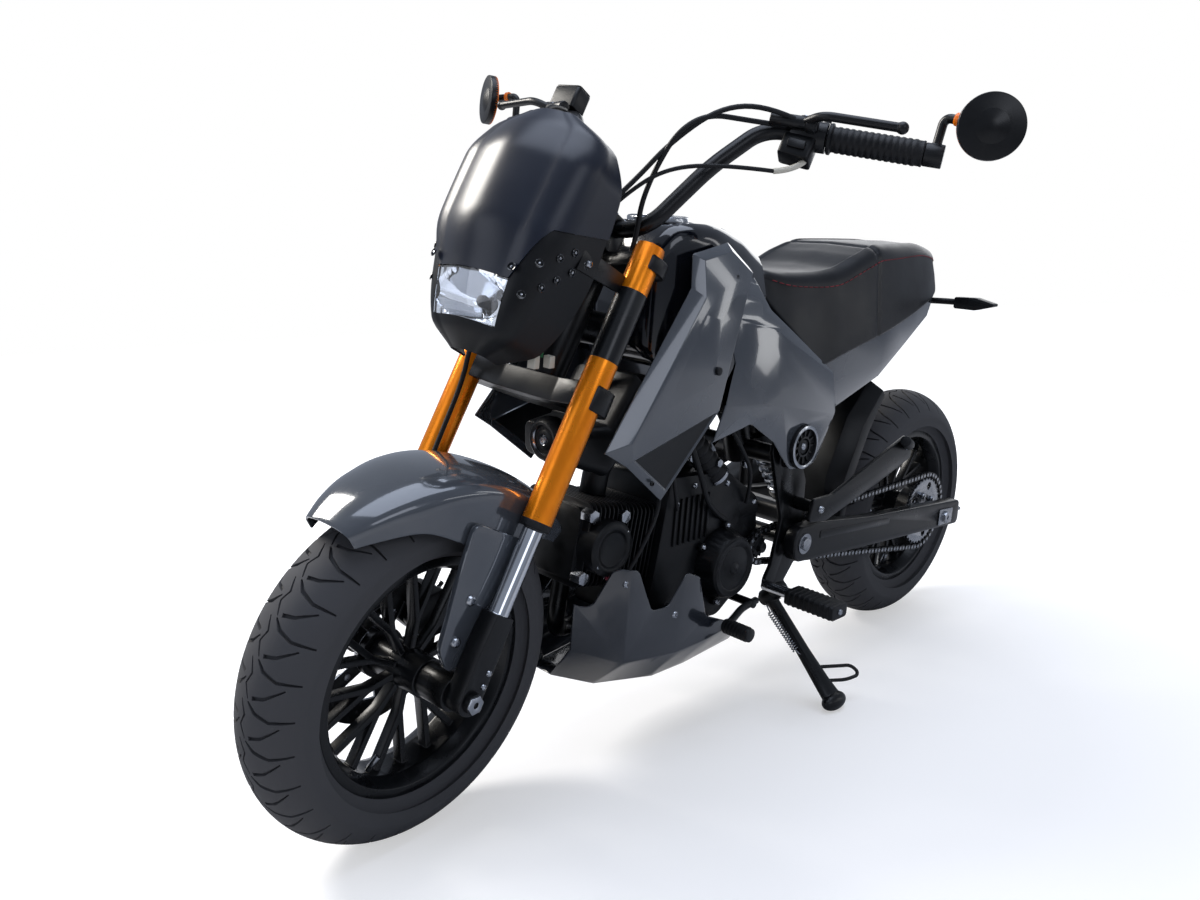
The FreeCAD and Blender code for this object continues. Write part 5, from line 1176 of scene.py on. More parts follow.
    def pan(self) -> None:
        """Dress the belly pan with its domed bolts and crease."""
        def extra(bm: Mesh) -> None:
            """Add the bolts and the crease of both cheeks."""
            for hand in (1, -1):
                for y, z, x in ((298, 312, 112), (392, 246, 127), (560, 176, 119)):
                    bolt(bm, (hand * x, y, z), (hand, 0, 0.05), 6, 1)
                wire(bm, [(hand * 96, 296, 196), (hand * 127, 372, 214), (hand * 131.5, 440, 288)], 1.3, 0)
        self.shop.refined("belly_pan", [Finish.GRAPHITE, Finish.ALLOY], 1.6, extra)

    def nose(self) -> None:
        """Dress the duct and build the horn's rings, bracket and plug."""
        self.shop.refined("front_duct", [Finish.PLASTIC], 2.0)
        bm = bmesh.new()
        place = turned((0, -1, 0), (24, 232, 516))
        spun(bm, [(0, 0), (29, 0), (30.4, 1.2), (30.4, 8), (32.8, 10), (33, 15), (31, 18), (28, 24), (25, 26),
                  (21, 25), (19, 21), (15, 20.5), (13, 22.5), (9, 23.5), (8, 21), (0, 21)], 48, place, 0)
        spun(bm, [(19.2, 21.2), (20.4, 24), (21.2, 25.2), (21.6, 24.2)], 48, place, 1)
        spun(bm, [(0, 25.6), (4, 25.2), (5, 23.6), (5, 21)], 20, place, 2)
        spun(bm, [(5.6, 22.2), (7.6, 23.6), (8.2, 22.4)], 28, place, 1)
        wire(bm, [(52, 262, 590), (66, 244, 556), (62, 236, 508), (36, 234, 480), (6, 238, 484)], 2.6, 3)
        self.shop.finish(bm, "horn_dressed", Space.BIKE, [Finish.PLASTIC, Finish.ALLOY, Finish.STEEL, Finish.CREAM],
                         ["horn"], 36)

    def build(self) -> None:
        """Build the bodywork."""
        self.tank()
        for side, hand in SIDES:
            self.shroud(side, hand)
        self.covers()
        self.pan()
        self.nose()


@dataclass
class Seat:
    """Two-step seat in pebbled vinyl, with welt seams and a red stitch."""

    shop: Workshop
    rows: tuple = ((622, 74, 700, 60, 748, 16), (680, 104, 640, 80, 742, 24), (744, 117, 592, 92, 744, 28),
                   (790, 121, 604, 100, 750, 30), (862, 123, 622, 104, 774, 30), (930, 118, 634, 100, 790, 30),
                   (1080, 98, 666, 78, 792, 26), (1190, 72, 692, 54, 780, 22), (1232, 48, 712, 36, 760, 14))
    per_corner: int = 11
    seam_share: float = 0.72
    seam_depth: float = 2.2
    step_at: float = 905.0
    step_depth: float = 2.6
    stitch: float = 8.0

    def skin(self, u: float, v: float) -> Vector:
        """Return a point of the seat: u round the section from its lower right corner, v along it."""
        start, stop = self.rows[0][0], self.rows[-1][0]
        station = start + (stop - start) * v
        low, base, high, top, bend = spline(self.rows, station)
        points = ring([(-low, base, 8), (low, base, 8), (high, top, bend), (-high, top, bend)], self.per_corner)
        spot = u * len(points)
        index = int(spot) % len(points)
        x, z = points[index]
        after = points[(index + 1) % len(points)]
        share = spot - int(spot)
        x, z = x + (after[0] - x) * share, z + (after[1] - z) * share
        end = max(0.0, min(1.0, min(station - start, stop - station) / 20))
        scale = 0.55 + 0.45 * math.sqrt(1 - (1 - end) ** 2)
        middle = (base + top) / 2
        crown = 5.0 * max(0.0, 1 - (x / high) ** 2) - 5.0 if z > top - 0.5 else 0.0
        seam_at = base + (top - base) * self.seam_share
        pinch = self.seam_depth * math.exp(-((z - seam_at) / 5) ** 2) if abs(x) > high * 0.5 else 0.0
        welt = self.step_depth * math.exp(-((station - self.step_at) / 5) ** 2)
        x -= math.copysign(pinch + (welt if abs(x) > high * 0.8 else 0.0), x)
        crown -= welt if z > top - 12 else 0.0
        return Vector((x * (0.8 + 0.2 * scale), station, middle + (z + crown - middle) * scale))

    def seam(self, share: float, hand: int) -> list[Vector]:
        """Return points along the side of the seat at a share of its height."""
        points = []
        for step in range(48):
            v = 0.03 + 0.94 * step / 47
            best = min((self.skin(k / 160, v) for k in range(161)),
                       key=lambda p: abs(p.z - self.level(v, share)) + (200 if p.x * hand < 20 else 0))
            points.append(best)
        return points

    def level(self, v: float, share: float) -> float:
        """Return the height of a share of the side at a station."""
        start, stop = self.rows[0][0], self.rows[-1][0]
        _, base, _, top, _ = spline(self.rows, start + (stop - start) * v)
        return base + (top - base) * share

    def build(self) -> None:
        """Build the cushion and its seams."""
        bm = bmesh.new()
        patch(bm, 4 * self.per_corner * 2, 150, self.skin)
        bmesh.ops.holes_fill(bm, edges=[e for e in bm.edges if e.is_boundary])
        bmesh.ops.recalc_face_normals(bm, faces=bm.faces)
        cushion = self.shop.finish(bm, "seat_dressed", Space.BIKE, [Finish.VINYL], ["seat"], 60)
        bm = bmesh.new()
        for hand in (1, -1):
            line = self.seam(self.seam_share, hand)
            out = Vector((hand * 0.5, 0, 0))
            for first, second in zip(line, line[1:]):
                run = (second - first).length
                count = max(1, int(run / self.stitch))
                for step in range(count):
                    a = first.lerp(second, (step + 0.15) / count) + out + Vector((0, 0, 3))
                    b = first.lerp(second, (step + 0.8) / count) + out + Vector((0, 0, 3))
                    wire(bm, [a, b], 0.75, 0, 1)
            wire(bm, [point - out * 2.2 for point in line], 1.1, 1, 2)
        self.shop.finish(bm, "seat_seams", Space.BIKE, [Finish.THREAD, Finish.VINYL], (), 60)


@dataclass
class Engine:
    """Horizontal engine with its covers, intake, exhaust and small parts."""

    shop: Workshop

    def barrel(self) -> Matrix:
        """Return the frame of the barrel, whose -Y runs to the front."""
        return moved(0, 404, 334) @ Matrix.Rotation(math.radians(-10), 4, "X")

    def on_barrel(self, x: float, ahead: float, up: float) -> Vector:
        """Return a point given across, ahead of the barrel's foot and above its axis."""
        return self.barrel() @ Vector((x, -ahead, up))

    def top_end(self) -> None:
        """Dress the barrel and the head, with nuts, gasket, cover, plug and lead."""
        def barrel(bm: Mesh) -> None:
            """Add the gasket edges."""
            for ahead in (0.5, 71.0):
                slab(bm, [(-57, -54, 10), (57, -54, 10), (57, 58, 10), (-57, 58, 10)], 1.6,
                     self.barrel() @ moved(0, -ahead, 0) @ Matrix.Rotation(math.pi / 2, 4, "X"), 0.3, 1)
        self.shop.refined("cylinder", [Finish.CAST, Finish.ALLOY], 0.5, barrel)

        def head(bm: Mesh) -> None:
            """Add the head's nuts, the cam cover's rim, the plug and its lead."""
            out = Vector((1, 0, 0))
            for ahead, up in ((82, 48), (82, -42), (148, 48), (148, -42)):
                hexagon(bm, self.on_barrel(54, ahead, up), out, 10.5, 20, 1)
            hub = self.on_barrel(86, 114, 4)
            spun(bm, [(0, 0.2), (24, 0.2), (27, 1.8), (27, 3.4), (33, 3.6), (38, 2.4), (40.4, 0)], 56, turned(out, hub),
                 0)
            for y, z in circle(2, 34, math.radians(35)):
                bolt(bm, hub + Vector((0, y, z)), out, 4.4, 1)
            plug = self.on_barrel(64, 96, -36)
            place = turned((0.9, -0.2, -0.35), plug)
            drum(bm, 8, 12, place, 0.8, 24, 1)
            drum(bm, 7, 16, place @ moved(0, 0, 10), 1.4, 24, 2, 5.5)
            wire(bm, [place @ Vector((0, 0, 22)), place @ Vector((6, 2, 34)), self.on_barrel(98, 60, 12),
                      self.on_barrel(84, 18, 84), self.on_barrel(30, -10, 150)], 3.2, 3)
            for ahead in (160, 164):
                spun(bm, [(15, 0), (17, 0), (17, 3), (15, 3)], 28,
                     turned((0, -1, 0), self.on_barrel(0, ahead - 20, 0)), 0)
        self.shop.refined("cylinder_head", [Finish.CAST, Finish.ALLOY, Finish.PINK, Finish.RUBBER], 0.5, head)

    def cases(self) -> None:
        """Dress the crankcase and its covers, with ribs and bolts."""
        def case(bm: Mesh) -> None:
            """Add rim bolts, ribs and the drain plug."""
            for y, z in ((438, 396), (470, 218), (560, 206), (620, 236), (636, 366), (560, 410), (478, 420)):
                bolt(bm, (78, y, z), (1, 0, 0), 5, 1)
            for step in range(7):
                slab(bm, [(432 + step * 13, 330, 1), (436 + step * 13, 330, 1), (438 + step * 13, 404, 1),
                          (434 + step * 13, 404, 1)], 4, side_plane(77.5), 0.6, 0)
            hexagon(bm, (0, 500, 184), (0, 0, -1), 10, 7, 1)
        self.shop.refined("crankcase", [Finish.CAST, Finish.ALLOY], 1.2, case)

        def covers(bm: Mesh) -> None:
            """Add raised rings, bosses and rim bolts."""
            for hand, y, z, radius, depth in ((1, 552, 278, 60, 34), (-1, 545, 290, 70, 40), (-1, 452, 300, 40, 20)):
                out = Vector((hand, 0, 0))
                face = Vector((hand * (78 + depth), y, z))
                spun(bm, [(radius - 24, 0), (radius - 22, 1.8), (radius - 13, 1.8), (radius - 11.5, 0)], 60,
                     turned(out, face), 0)
                spun(bm, [(0, 2.2), (9, 2), (10.5, 0)], 32, turned(out, face), 0)
                for back, up in circle(6, radius + 4, 0.4):
                    at = Vector((hand * 78, y + back, z + up))
                    drum(bm, 7, 9, turned(out, at), 1.2, 20, 0)
                    bolt(bm, at + out * 9, out, 4.4, 1)
        self.shop.refined("engine_covers", [Finish.CAST, Finish.ALLOY], 2.4, covers)

    def breathing(self) -> None:
        """Dress the intake and the exhaust, with clips, hoses, a ribbed bellows and bands."""
        def intake(bm: Mesh) -> None:
            """Add the bellows, its clips, three hoses, the throttle's block and nuts on the left."""
            start, end = Vector((54, 452, 520)), Vector((70, 540, 424))
            place = turned((end - start).normalized(), start)
            run = (end - start).length
            rows = [(0, 0)]
            for step in range(9):
                at = run * step / 9
                rows += [(17, at), (21.5, at + run * 0.03), (21.5, at + run * 0.06), (17, at + run * 0.09)]
            spun(bm, rows + [(17, run), (0, run)], 40, place, 1)
            for share in (0.03, 0.95):
                spun(bm, [(18, run * share), (22.4, run * share), (22.4, run * share + 6), (18, run * share + 6)], 40,
                     place, 2)
            wire(bm, [(70, 430, 560), (92, 440, 500), (96, 470, 440), (92, 500, 380), (80, 560, 350)], 4.5, 1)
            wire(bm, [(60, 470, 570), (98, 500, 540), (104, 560, 470), (98, 600, 420), (82, 610, 370)], 3.4, 1)
            wire(bm, [(56, 400, 560), (88, 396, 500), (94, 410, 440), (88, 428, 392)], 3.0, 1)
            slab(bm, [(404, 500, 4), (436, 500, 4), (436, 524, 4), (404, 524, 4)], 10, side_plane(80), 1.2, 2)
            for y, z in ((452, 470), (520, 452), (590, 440)):
                hexagon(bm, (84, y, z), (1, 0, 0), 7, 8, 2)
        self.shop.refined("intake", [Finish.PLASTIC, Finish.RUBBER, Finish.ALLOY], 1.4, intake)

        def pipe(bm: Mesh) -> None:
            """Add the flange and its two studs."""
            at = self.on_barrel(-20, 95, -60)
            down = (self.on_barrel(-20, 95, -61) - at).normalized()
            spun(bm, [(14, 2), (26, 2), (27, 4), (27, 9), (14, 10)], 36, turned(down, at), 1)
            for shift in (-32, 32):
                hexagon(bm, at + Vector((shift, 0, 0)) + down * 6, down, 7, 8, 1)
        self.shop.refined("exhaust_pipe", [Finish.STEEL_BLACK, Finish.ALLOY], 0.5, pipe)

        def can(bm: Mesh) -> None:
            """Add the bands and the end cap's tube."""
            aim = Vector((-0.02, 0.93, 0.30)).normalized()
            place = turned(aim, (-188, 826, 240))
            for at in (52, 262):
                spun(bm, [(43.6, at), (45.2, at + 1), (45.2, at + 9), (43.6, at + 10)], 60, place, 1)
            spun(bm, [(12, 306), (18, 306.2), (18, 311), (14, 311.6), (12, 300)], 36, place, 1)
        self.shop.refined("silencer", [Finish.STEEL_BLACK, Finish.STEEL], 1.2, can)

    def build(self) -> None:
        """Build the engine."""
        self.top_end()
        self.cases()
        self.breathing()


@dataclass
class Drive:
    """Swingarm, chain, sprocket, shock and rear calliper."""

    shop: Workshop
    pitch: float = 12.7
    line: float = 84.0
    front: tuple[float, float, float] = (652.0, 286.0, 27.0)
    rear: tuple[float, float, float] = (*REAR_HUB[1:], 78.0)

    def chain_path(self) -> tuple[float, Callable[[float], Vector]]:
        """Return the length of the chain's closed line and a function from a length along it to a point."""
        run = math.hypot(self.rear[0] - self.front[0], self.rear[1] - self.front[1])
        slope = math.atan2(self.rear[1] - self.front[1], self.rear[0] - self.front[0])
        lean = math.asin((self.rear[2] - self.front[2]) / run)
        straight = math.sqrt(run**2 - (self.rear[2] - self.front[2]) ** 2)
        rear_wrap = self.rear[2] * (math.pi + 2 * lean)
        total = 2 * straight + rear_wrap + self.front[2] * (math.pi - 2 * lean)
        top, low = slope + math.pi / 2 + lean, slope - math.pi / 2 - lean

        def on(gear: Row, angle: float, ahead: float = 0.0) -> Vector:
            """Return a point of a sprocket's pitch circle, or ahead of it along the tangent."""
            return Vector((gear[0] + gear[2] * math.cos(angle) + ahead * math.sin(angle),
                           gear[1] + gear[2] * math.sin(angle) - ahead * math.cos(angle)))

        def at(length: float) -> Vector:
            """Return the point at a length."""
            left = length % total
            if left < straight:
                return on(self.front, top, left)
            left -= straight
            if left < rear_wrap:
                return on(self.rear, top - left / self.rear[2])
            left -= rear_wrap
            if left < straight:
                return on(self.rear, low, left)
            return on(self.front, low - (left - straight) / self.front[2])
        return total, at

    def chain(self) -> None:
        """Build the chain link by link: rollers between alternate inner and outer plates."""
        bm = bmesh.new()
        total, at = self.chain_path()
        count = int(total / self.pitch) // 2 * 2
        step = total / count
        for index in range(count):
            here, after = at(index * step), at((index + 1) * step)
            angle = math.atan2(after.y - here.y, after.x - here.x)
            offset = 3.9 if index % 2 else 2.4
            outline = []
            for centre, start in ((0.0, math.pi / 2), (step, -math.pi / 2)):
                outline += [(centre + 5.2 * math.cos(start + k * math.pi / 4), 5.2 * math.sin(start + k * math.pi / 4))
                            for k in range(5)]
            for hand in (1, -1):
                place = side_plane(self.line + hand * offset - 0.6) @ moved(here.x, here.y, 0)
                slab(bm, outline, 1.2, place @ Matrix.Rotation(angle, 4, "Z"), 0, 0)
            spun(bm, [(0, 0), (3.6, 0), (3.6, 9.6), (0, 9.6)], 8,
                 side_plane(self.line - 4.8) @ moved(here.x, here.y, 0), 1)
        self.shop.finish(bm, "chain_dressed", Space.BIKE, [Finish.STEEL_BLACK, Finish.STEEL], ["chain"], 34)

    def arm(self) -> None:
        """Dress the swingarm and the rear axle's adjusters."""
        def extra(bm: Mesh) -> None:
            """Add adjuster plates, the pivot's nuts and the chain's slider."""
            for hand in (1, -1):
                side = side_plane(hand * 135, hand)
                slab(bm, [(1206, 228, 3), (1262, 226, 3), (1262, 258, 3), (1206, 262, 3)], 3, side, 0.8, 1)
                drum(bm, 4, 34, turned((0, 1, -0.06), (hand * 123, 1290, 243)), 0.6, 16, 1)
                hexagon(bm, (hand * 123, 1300, 242.4), (0, 1, -0.06), 7, 6, 1)
                hexagon(bm, (hand * 135, 714, 292), (hand, 0, 0), 12, 6, 1)
                spun(bm, [(8, 0), (18, 0), (18, 2), (8, 2)], 32, side @ moved(714, 292, 0), 1)
                slab(bm, [(760, 292, 4), (1000, 272, 4), (1000, 284, 4), (760, 306, 4)], 1.2, side, 0.8, 0)
        self.shop.refined("swingarm", [Finish.STEEL_BLACK, Finish.STEEL], 3.0, extra)
        self.shop.refined("rear_axle", [Finish.ALLOY], 0.8)

        def calliper(bm: Mesh) -> None:
            """Add the calliper's bolts."""
            for y, z in ((1150, 320), (1140, 345), (1172, 340)):
                bolt(bm, (-81, y, z), (-1, 0, 0), 5, 1)
        self.shop.refined("rear_caliper", [Finish.CAST, Finish.ALLOY], 1.4, calliper)

    def sprocket(self) -> None:
        """Dress the rear sprocket with its nuts."""
        def extra(bm: Mesh) -> None:
            """Add the carrier's nuts."""
            for y, z in circle(5, 36, math.pi / 5):
                hexagon(bm, (87, REAR_HUB[1] + y, REAR_HUB[2] + z), (1, 0, 0), 7, 6, 1)
        self.shop.refined("rear_sprocket", [Finish.STEEL, Finish.ALLOY, Finish.STEEL_BLACK], 0.4, extra,
                          pick=lambda at, normal: 0 if at.x > 79.5 else 2, body="rear_wheel")

    def shock(self) -> None:
        """Build the shock: body, spring, seats and eyes."""
        bm = bmesh.new()
        foot, aim = Vector((0, 856, 312)), Vector((0, -0.62, 0.78)).normalized()
        place = turned(aim, foot)
        spun(bm, [(0, -4), (12, -4), (14, 0), (14, 26), (27, 28), (28, 31), (27, 34), (10, 36), (10, 148), (27, 150),
                  (28, 154), (26, 160), (22, 162), (22, 190), (14, 192), (14, 224), (12, 226), (0, 226)], 40, place, 0)
        wire(bm, coil(foot + aim * 36, foot + aim * 148, 22, 6.5), 4.4, 1, 3)
        self.shop.finish(bm, "rear_shock_dressed", Space.BIKE, [Finish.STEEL_BLACK, Finish.STEEL], ["rear_shock"], 34)

    def build(self) -> None:
        """Build the drive."""
        self.arm()
        self.sprocket()
        self.chain()
        self.shock()


@dataclass
class Cockpit:
    """Handlebar, grips, levers, mirrors, gauge and control cables, in the fork's frame."""

    shop: Workshop
    tip: Vector = field(init=False)
    aim: Vector = field(init=False)
    perch_at: float = 149.0
    cable_at: float = 174.0

    def __post_init__(self) -> None:
        """Work out the straight end of the left half of the bar."""
        self.tip = Vector((364, 128, 862))
        self.aim = (self.tip - Vector((165, 58, 842))).normalized()

    def on_bar(self, inboard: float, hand: int) -> Matrix:
        """Return the frame on the bar at a distance inboard of its tip, Z towards the tip."""
        point, aim = self.tip - self.aim * inboard, self.aim.copy()
        if hand < 0:
            point.x, aim.x = -point.x, -aim.x
        return turned(aim, point)

    def bar(self) -> None:
        """Dress the bar and build its ribbed grips."""
        self.shop.refined("handlebar", [Finish.STEEL_BLACK], 0.4, space=Space.FORK)
        bm = bmesh.new()
        for hand in (1, -1):
            rows = [(11.2, -124.5), (19, -124.5), (20.4, -123), (20.4, -120), (16.4, -118)]
            for step in range(13):
                at = -114 + step * 8.2
                rows += [(16.2, at), (17.1, at + 1.4), (17.1, at + 4.8), (16.2, at + 6.2)]
            rows += [(16.2, -4), (16.8, -2), (16.2, -0.4), (11.2, -0.4)]
            spun(bm, rows, 36, self.on_bar(0, hand), 0)
        self.shop.finish(bm, "grips_dressed", Space.FORK, [Finish.RUBBER], ["grips"], 36)

    def controls(self) -> None:
        """Dress the switch housings, levers and brake reservoir."""
        def extra(bm: Mesh) -> None:
            """Add buttons, pivot bolts, the reservoir's cap and the lever's clamp."""
            for hand in (1, -1):
                place = self.on_bar(self.perch_at, hand)
                side = turned(place.to_3x3().inverted() @ Vector((0, 0, 1)))
                for along, colour in ((-12, 3), (4, 1), (16, 1)):
                    drum(bm, 5, 7, place @ moved(0, 0, along) @ side @ moved(0, 0, 17.5), 1, 18, colour)
                perch = place.translation + Vector((0, -27, 2))
                drum(bm, 7, 16, Matrix.Translation(perch + Vector((0, 0, -8))), 1, 24, 1)
                bolt(bm, perch + Vector((0, 0, 8)), (0, 0, 1), 4, 2)
                along = place.to_3x3() @ Vector((0, 0, 1))
                drum(bm, 9, 64, turned(along, perch - along * 44), 1.6, 28, 0)
                drum(bm, 11, 14, turned(along, perch + along * 4), 2, 28, 1)
                if hand > 0:
                    box = Matrix.Translation(place.translation + Vector((-8, -4, -40))) @ Matrix.Rotation(0.338, 4, "Z")
                    slab(bm, [(-22, -17, 6), (22, -17, 6), (22, 18, 6), (-22, 18, 6)], 30, box, 1.6, 1)
                    slab(bm, oblong(12, 6, 2), 4,
                         box @ moved(0, -17, 15) @ Matrix.Rotation(math.pi / 2, 4, "X"), 0.8, 0)
            mid = self.on_bar(self.perch_at, -1).translation + Vector((10, -6, 46))
            slab(bm, oblong(25, 16, 6), 3, Matrix.Translation(mid), 0.8, 1)
            for shift in (-18, 18):
                bolt(bm, mid + Vector((shift, 0, 3)), (0, 0, 1), 2.6, 2)
        self.shop.refined("controls", [Finish.STEEL_BLACK, Finish.PLASTIC, Finish.ALLOY, Finish.ORANGE], 1.3, extra,
                          space=Space.FORK)

    def mirrors(self) -> None:
        """Dress both bar end mirrors with an orange ring and silvered glass."""
        for side, hand in SIDES:
            foot = self.on_bar(-12, hand).translation
            centre = foot + Vector((hand * 4, -18, 44)) + Vector((hand * 66, -6, -12))
            face = turned(Vector((-hand * 0.5, 0.8, 0.35)).normalized(), centre)

            def extra(bm: Mesh, face: Matrix = face, hand: int = hand, centre: Vector = centre) -> None:
                """Add the ring, the glass, the back's dome and the orange joint."""
                spun(bm, [(37.5, 12.0), (38.5, 12.6), (40.6, 12.6), (41.0, 11.6), (41.0, 8.0)], 64, face, 1)
                spun(bm, [(0, 12.2), (37.4, 12.2), (37.5, 11.6)], 64, face, 2)
                spun(bm, [(0, -5), (9, -4), (22, 0.2)], 40, face, 0)
                drum(bm, 8.5, 7, turned((hand, 0, -0.2), centre - Vector((hand * 50, -5, -10))), 1, 24, 1)
            self.shop.refined(f"mirror_{side}", [Finish.STEEL_BLACK, Finish.ORANGE, Finish.MIRROR], 1.2, extra,
                              space=Space.FORK)

    def gauge(self) -> None:
        """Dress the gauge with its dark glass and bezel."""
        def extra(bm: Mesh) -> None:
            """Add the bezel, the glass and the buttons."""
            place = moved(0, -62, 668) @ Matrix.Rotation(math.radians(35), 4, "X") @ moved(0, 0, 26)
            slab(bm, [(-42, -17, 9), (42, -17, 9), (35, 23, 9), (-35, 23, 9)], 0.8, place, 0.4, 1)
            for shift in (-20, 20):
                drum(bm, 3.6, 2, place @ moved(shift, -19.6, -0.4), 0.5, 16, 2)
        self.shop.refined("gauge", [Finish.PLASTIC, Finish.DIAL, Finish.RUBBER], 1.6, extra, space=Space.FORK)

    def cables(self) -> None:
        for side, hand in SIDES:
            place = self.on_bar(self.cable_at, hand)
            along = place.to_3x3() @ Vector((0, 0, 1))
            ahead = (Vector((0, -1, 0)) + along * along.y).normalized()
            start = place.translation + ahead * 15
            points = [start, start - along * 40, Vector((hand * 130, -60, 790)), Vector((hand * 88, -34, 690)),
                      Vector((hand * 84, -3, 628)), Vector((hand * 84, -3, 612))]
            data = tube(f"cable_{side}", [self.shop.spaces[Space.FORK] @ point for point in points], 3.5 * MM, 4, 16)
            data.materials.append(Finish.RUBBER.material())
            piece = placed(f"cable_{side}", data)
            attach(piece, "steering")
            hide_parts("cables")
            bare = data.copy()
            bare.bevel_depth = 0
            holder = placed("route", bare)
            mesh = evaluated(holder)
            spots = [vert.co.copy() for vert in mesh.vertices]
            length = sum((b - a).length for a, b in zip(spots, spots[1:]))
            bpy.data.objects.remove(holder)
            bpy.data.curves.remove(bare)
            bpy.data.meshes.remove(mesh)

    def harness(self) -> None:
        """Build the bar's leads, the brake hose and the plugs and leads under the mask."""
        bm = bmesh.new()
        wire(bm, [(236, 64, 850), (196, 22, 852), (150, -26, 822), (110, -48, 750),
                  (84, -52, 690), (60, -60, 640)], 3.4, 0)
        wire(bm, [(232, 78, 812), (228, 70, 792), (206, 56, 780)], 4.0, 1)
        wire(bm, [(206, 56, 780), (160, 14, 760), (112, -30, 726), (80, -48, 680), (56, -50, 640)], 2.8, 0)
        wire(bm, [(-60, -70, 500), (-80, -46, 430), (-86, -25, 380), (-87, -22, 300),
                  (-86, -20, 240), (-74, 10, 170), (-66, 50, 112)], 3.4, 0)
        for at, size, index in (((46, -70, 424), 15, 2), ((58, -62, 414), 13, 1), ((66, -44, 424), 12, 1),
                                ((30, -74, 418), 12, 0)):
            slab(bm, oblong(size / 2, 5, 1.5), size * 1.3,
                 Matrix.Translation(at) @ Matrix.Rotation(0.5, 4, "X"), 0.8, index)
        for at, out, index in (((46, -64, 446), (20, -90, 500), 3), ((58, -56, 432), (40, -80, 500), 4),
                               ((50, -60, 440), (-10, -70, 470), 0)):
            start, end = Vector(at), Vector(out)
            wire(bm, [start, start.lerp(end, 0.4) + Vector((10, 0, -6)), end], 2.0, index)
        self.shop.finish(bm, "bar_leads", Space.FORK, [Finish.RUBBER, Finish.CREAM, Finish.ORANGE, Finish.THREAD,
                                                       Finish.GREEN], (), 40)

    def build(self) -> None:
        """Build the cockpit."""
        self.harness()
        self.bar()
        self.controls()
        self.mirrors()
        self.gauge()
        self.cables()


@dataclass
class Footwork:
    """Pegs, pedals, hangers and the side stand with its spring."""

    shop: Workshop

    def build(self) -> None:
        """Build the footwork."""
        def pegs(bm: Mesh) -> None:
            """Add the pegs' ribs and end bolts."""
            for hand in (1, -1):
                for step in range(9):
                    at = hand * (164 + step * 9.6)
                    slab(bm, oblong(22.6, 12.6, 6), 4, side_plane(at, hand) @ moved(655, 222, 0), 0.8, 0)
                bolt(bm, (hand * 250, 655, 222), (hand, 0, 0), 5, 1)
        self.shop.refined("rider_pegs", [Finish.RUBBER, Finish.ALLOY], 1.0, pegs,
                          pick=lambda at, normal: 0 if abs(at.x) > 157.9 else 1)

        def pedals(bm: Mesh) -> None:
            """Add the ridges of the shift rubber and the pedal pad."""
            for start, y, z in ((142, 500, 204), (-194, 540, 190)):
                for step in range(7):
                    spun(bm, [(10, 0), (12.2, 0.4), (12.2, 3), (10, 3.6)], 28,
                         turned((1, 0, 0), (start + 3 + step * 6.4, y, z)), 1)
        self.shop.refined("foot_controls", [Finish.STEEL_BLACK, Finish.RUBBER], 0.8, pedals)

        def hangers(bm: Mesh) -> None:
            """Add the folded passenger pegs' pivots and bolts."""
            for hand in (1, -1):
                for y, z in ((728, 354), (1004, 426)):
                    bolt(bm, (hand * 150, y, z), (hand, 0, 0), 7, 1)
                drum(bm, 10, 40, turned((hand * 0.25, -0.9, 0.34), (hand * 154, 1004, 430)), 1.6, 24, 2)
        self.shop.refined("passenger_hangers", [Finish.STEEL_BLACK, Finish.ALLOY, Finish.RUBBER], 1.6, hangers)

        def stand(bm: Mesh) -> None:
            """Draw the foot out along the bike and add the return spring with its hooks."""
            pivot = Vector((78, 697, 178))
            foot = Vector((237, 693, 48.2))
            for vert in bm.verts:
                if (vert.co - foot).length < 16:
                    vert.co.y = foot.y + (vert.co.y - foot.y) * 1.9
            run = (foot - pivot).normalized()
            start = pivot + run * 26 + Vector((4, -16, 4))
            end = start + run * 78
            wire(bm, coil(start, end, 5.2, 17), 1.1, 1, 2)
            wire(bm, [start - run * 16 + Vector((0, 4, 0)), start - run * 4, start], 1.3, 1, 2)
            wire(bm, [end, end + run * 8 + Vector((0, 3, 0)), end + run * 14 + Vector((0, 10, -2))], 1.3, 1, 2)
        self.shop.refined("side_stand", [Finish.STEEL_BLACK, Finish.STEEL], 0.7, stand, body="side_stand")
        self.shop.refined("main_frame", [Finish.STEEL_BLACK], 1.2)
        self.shop.refined("seat_rails", [Finish.STEEL_BLACK], 0.8)
        self.shop.refined("front_axle", [Finish.ALLOY, Finish.STEEL_BLACK], 0.8,
                          pick=lambda at, normal: 0 if abs(at.x) > 128 else 1, space=Space.FORK)


@dataclass
class Tail:
    """Rear mudguard, tail lamp and arrow-shaped indicators."""

    shop: Workshop

    def build(self) -> None:
        """Build the tail."""
        self.shop.refined("rear_fender", [Finish.PLASTIC], 0.8)

        def lamp(bm: Mesh) -> None:
            """Add the lens with its ridges."""
            for step in range(5):
                level = 656 + step * 9
                half = 33 + step * 2
                slab(bm, [(-half, 0, 1), (half, 0, 1), (half + 2, 7, 1), (-half - 2, 7, 1)], 1.6,
                     rear_plane(1225.4, level), 0.5, 1)
        self.shop.refined("tail_lamp", [Finish.PLASTIC, Finish.RED], 1.4, lamp,
                          pick=lambda at, normal: 1 if normal.y > 0.7 else 0)

        def indicators(bm: Mesh) -> None:
            """Add both lenses on the rear faces."""
            for hand in (1, -1):
                slab(bm, [(hand * 114, -6.5, 2), (hand * 150, -8.5, 3), (hand * 184, 0, 2), (hand * 150, 8.5, 3),
                          (hand * 114, 6.5, 2)], 1.8, rear_plane(1221.4, 682), 0.6, 1)
        self.shop.refined("rear_indicators", [Finish.PLASTIC, Finish.AMBER], 1.0, indicators)


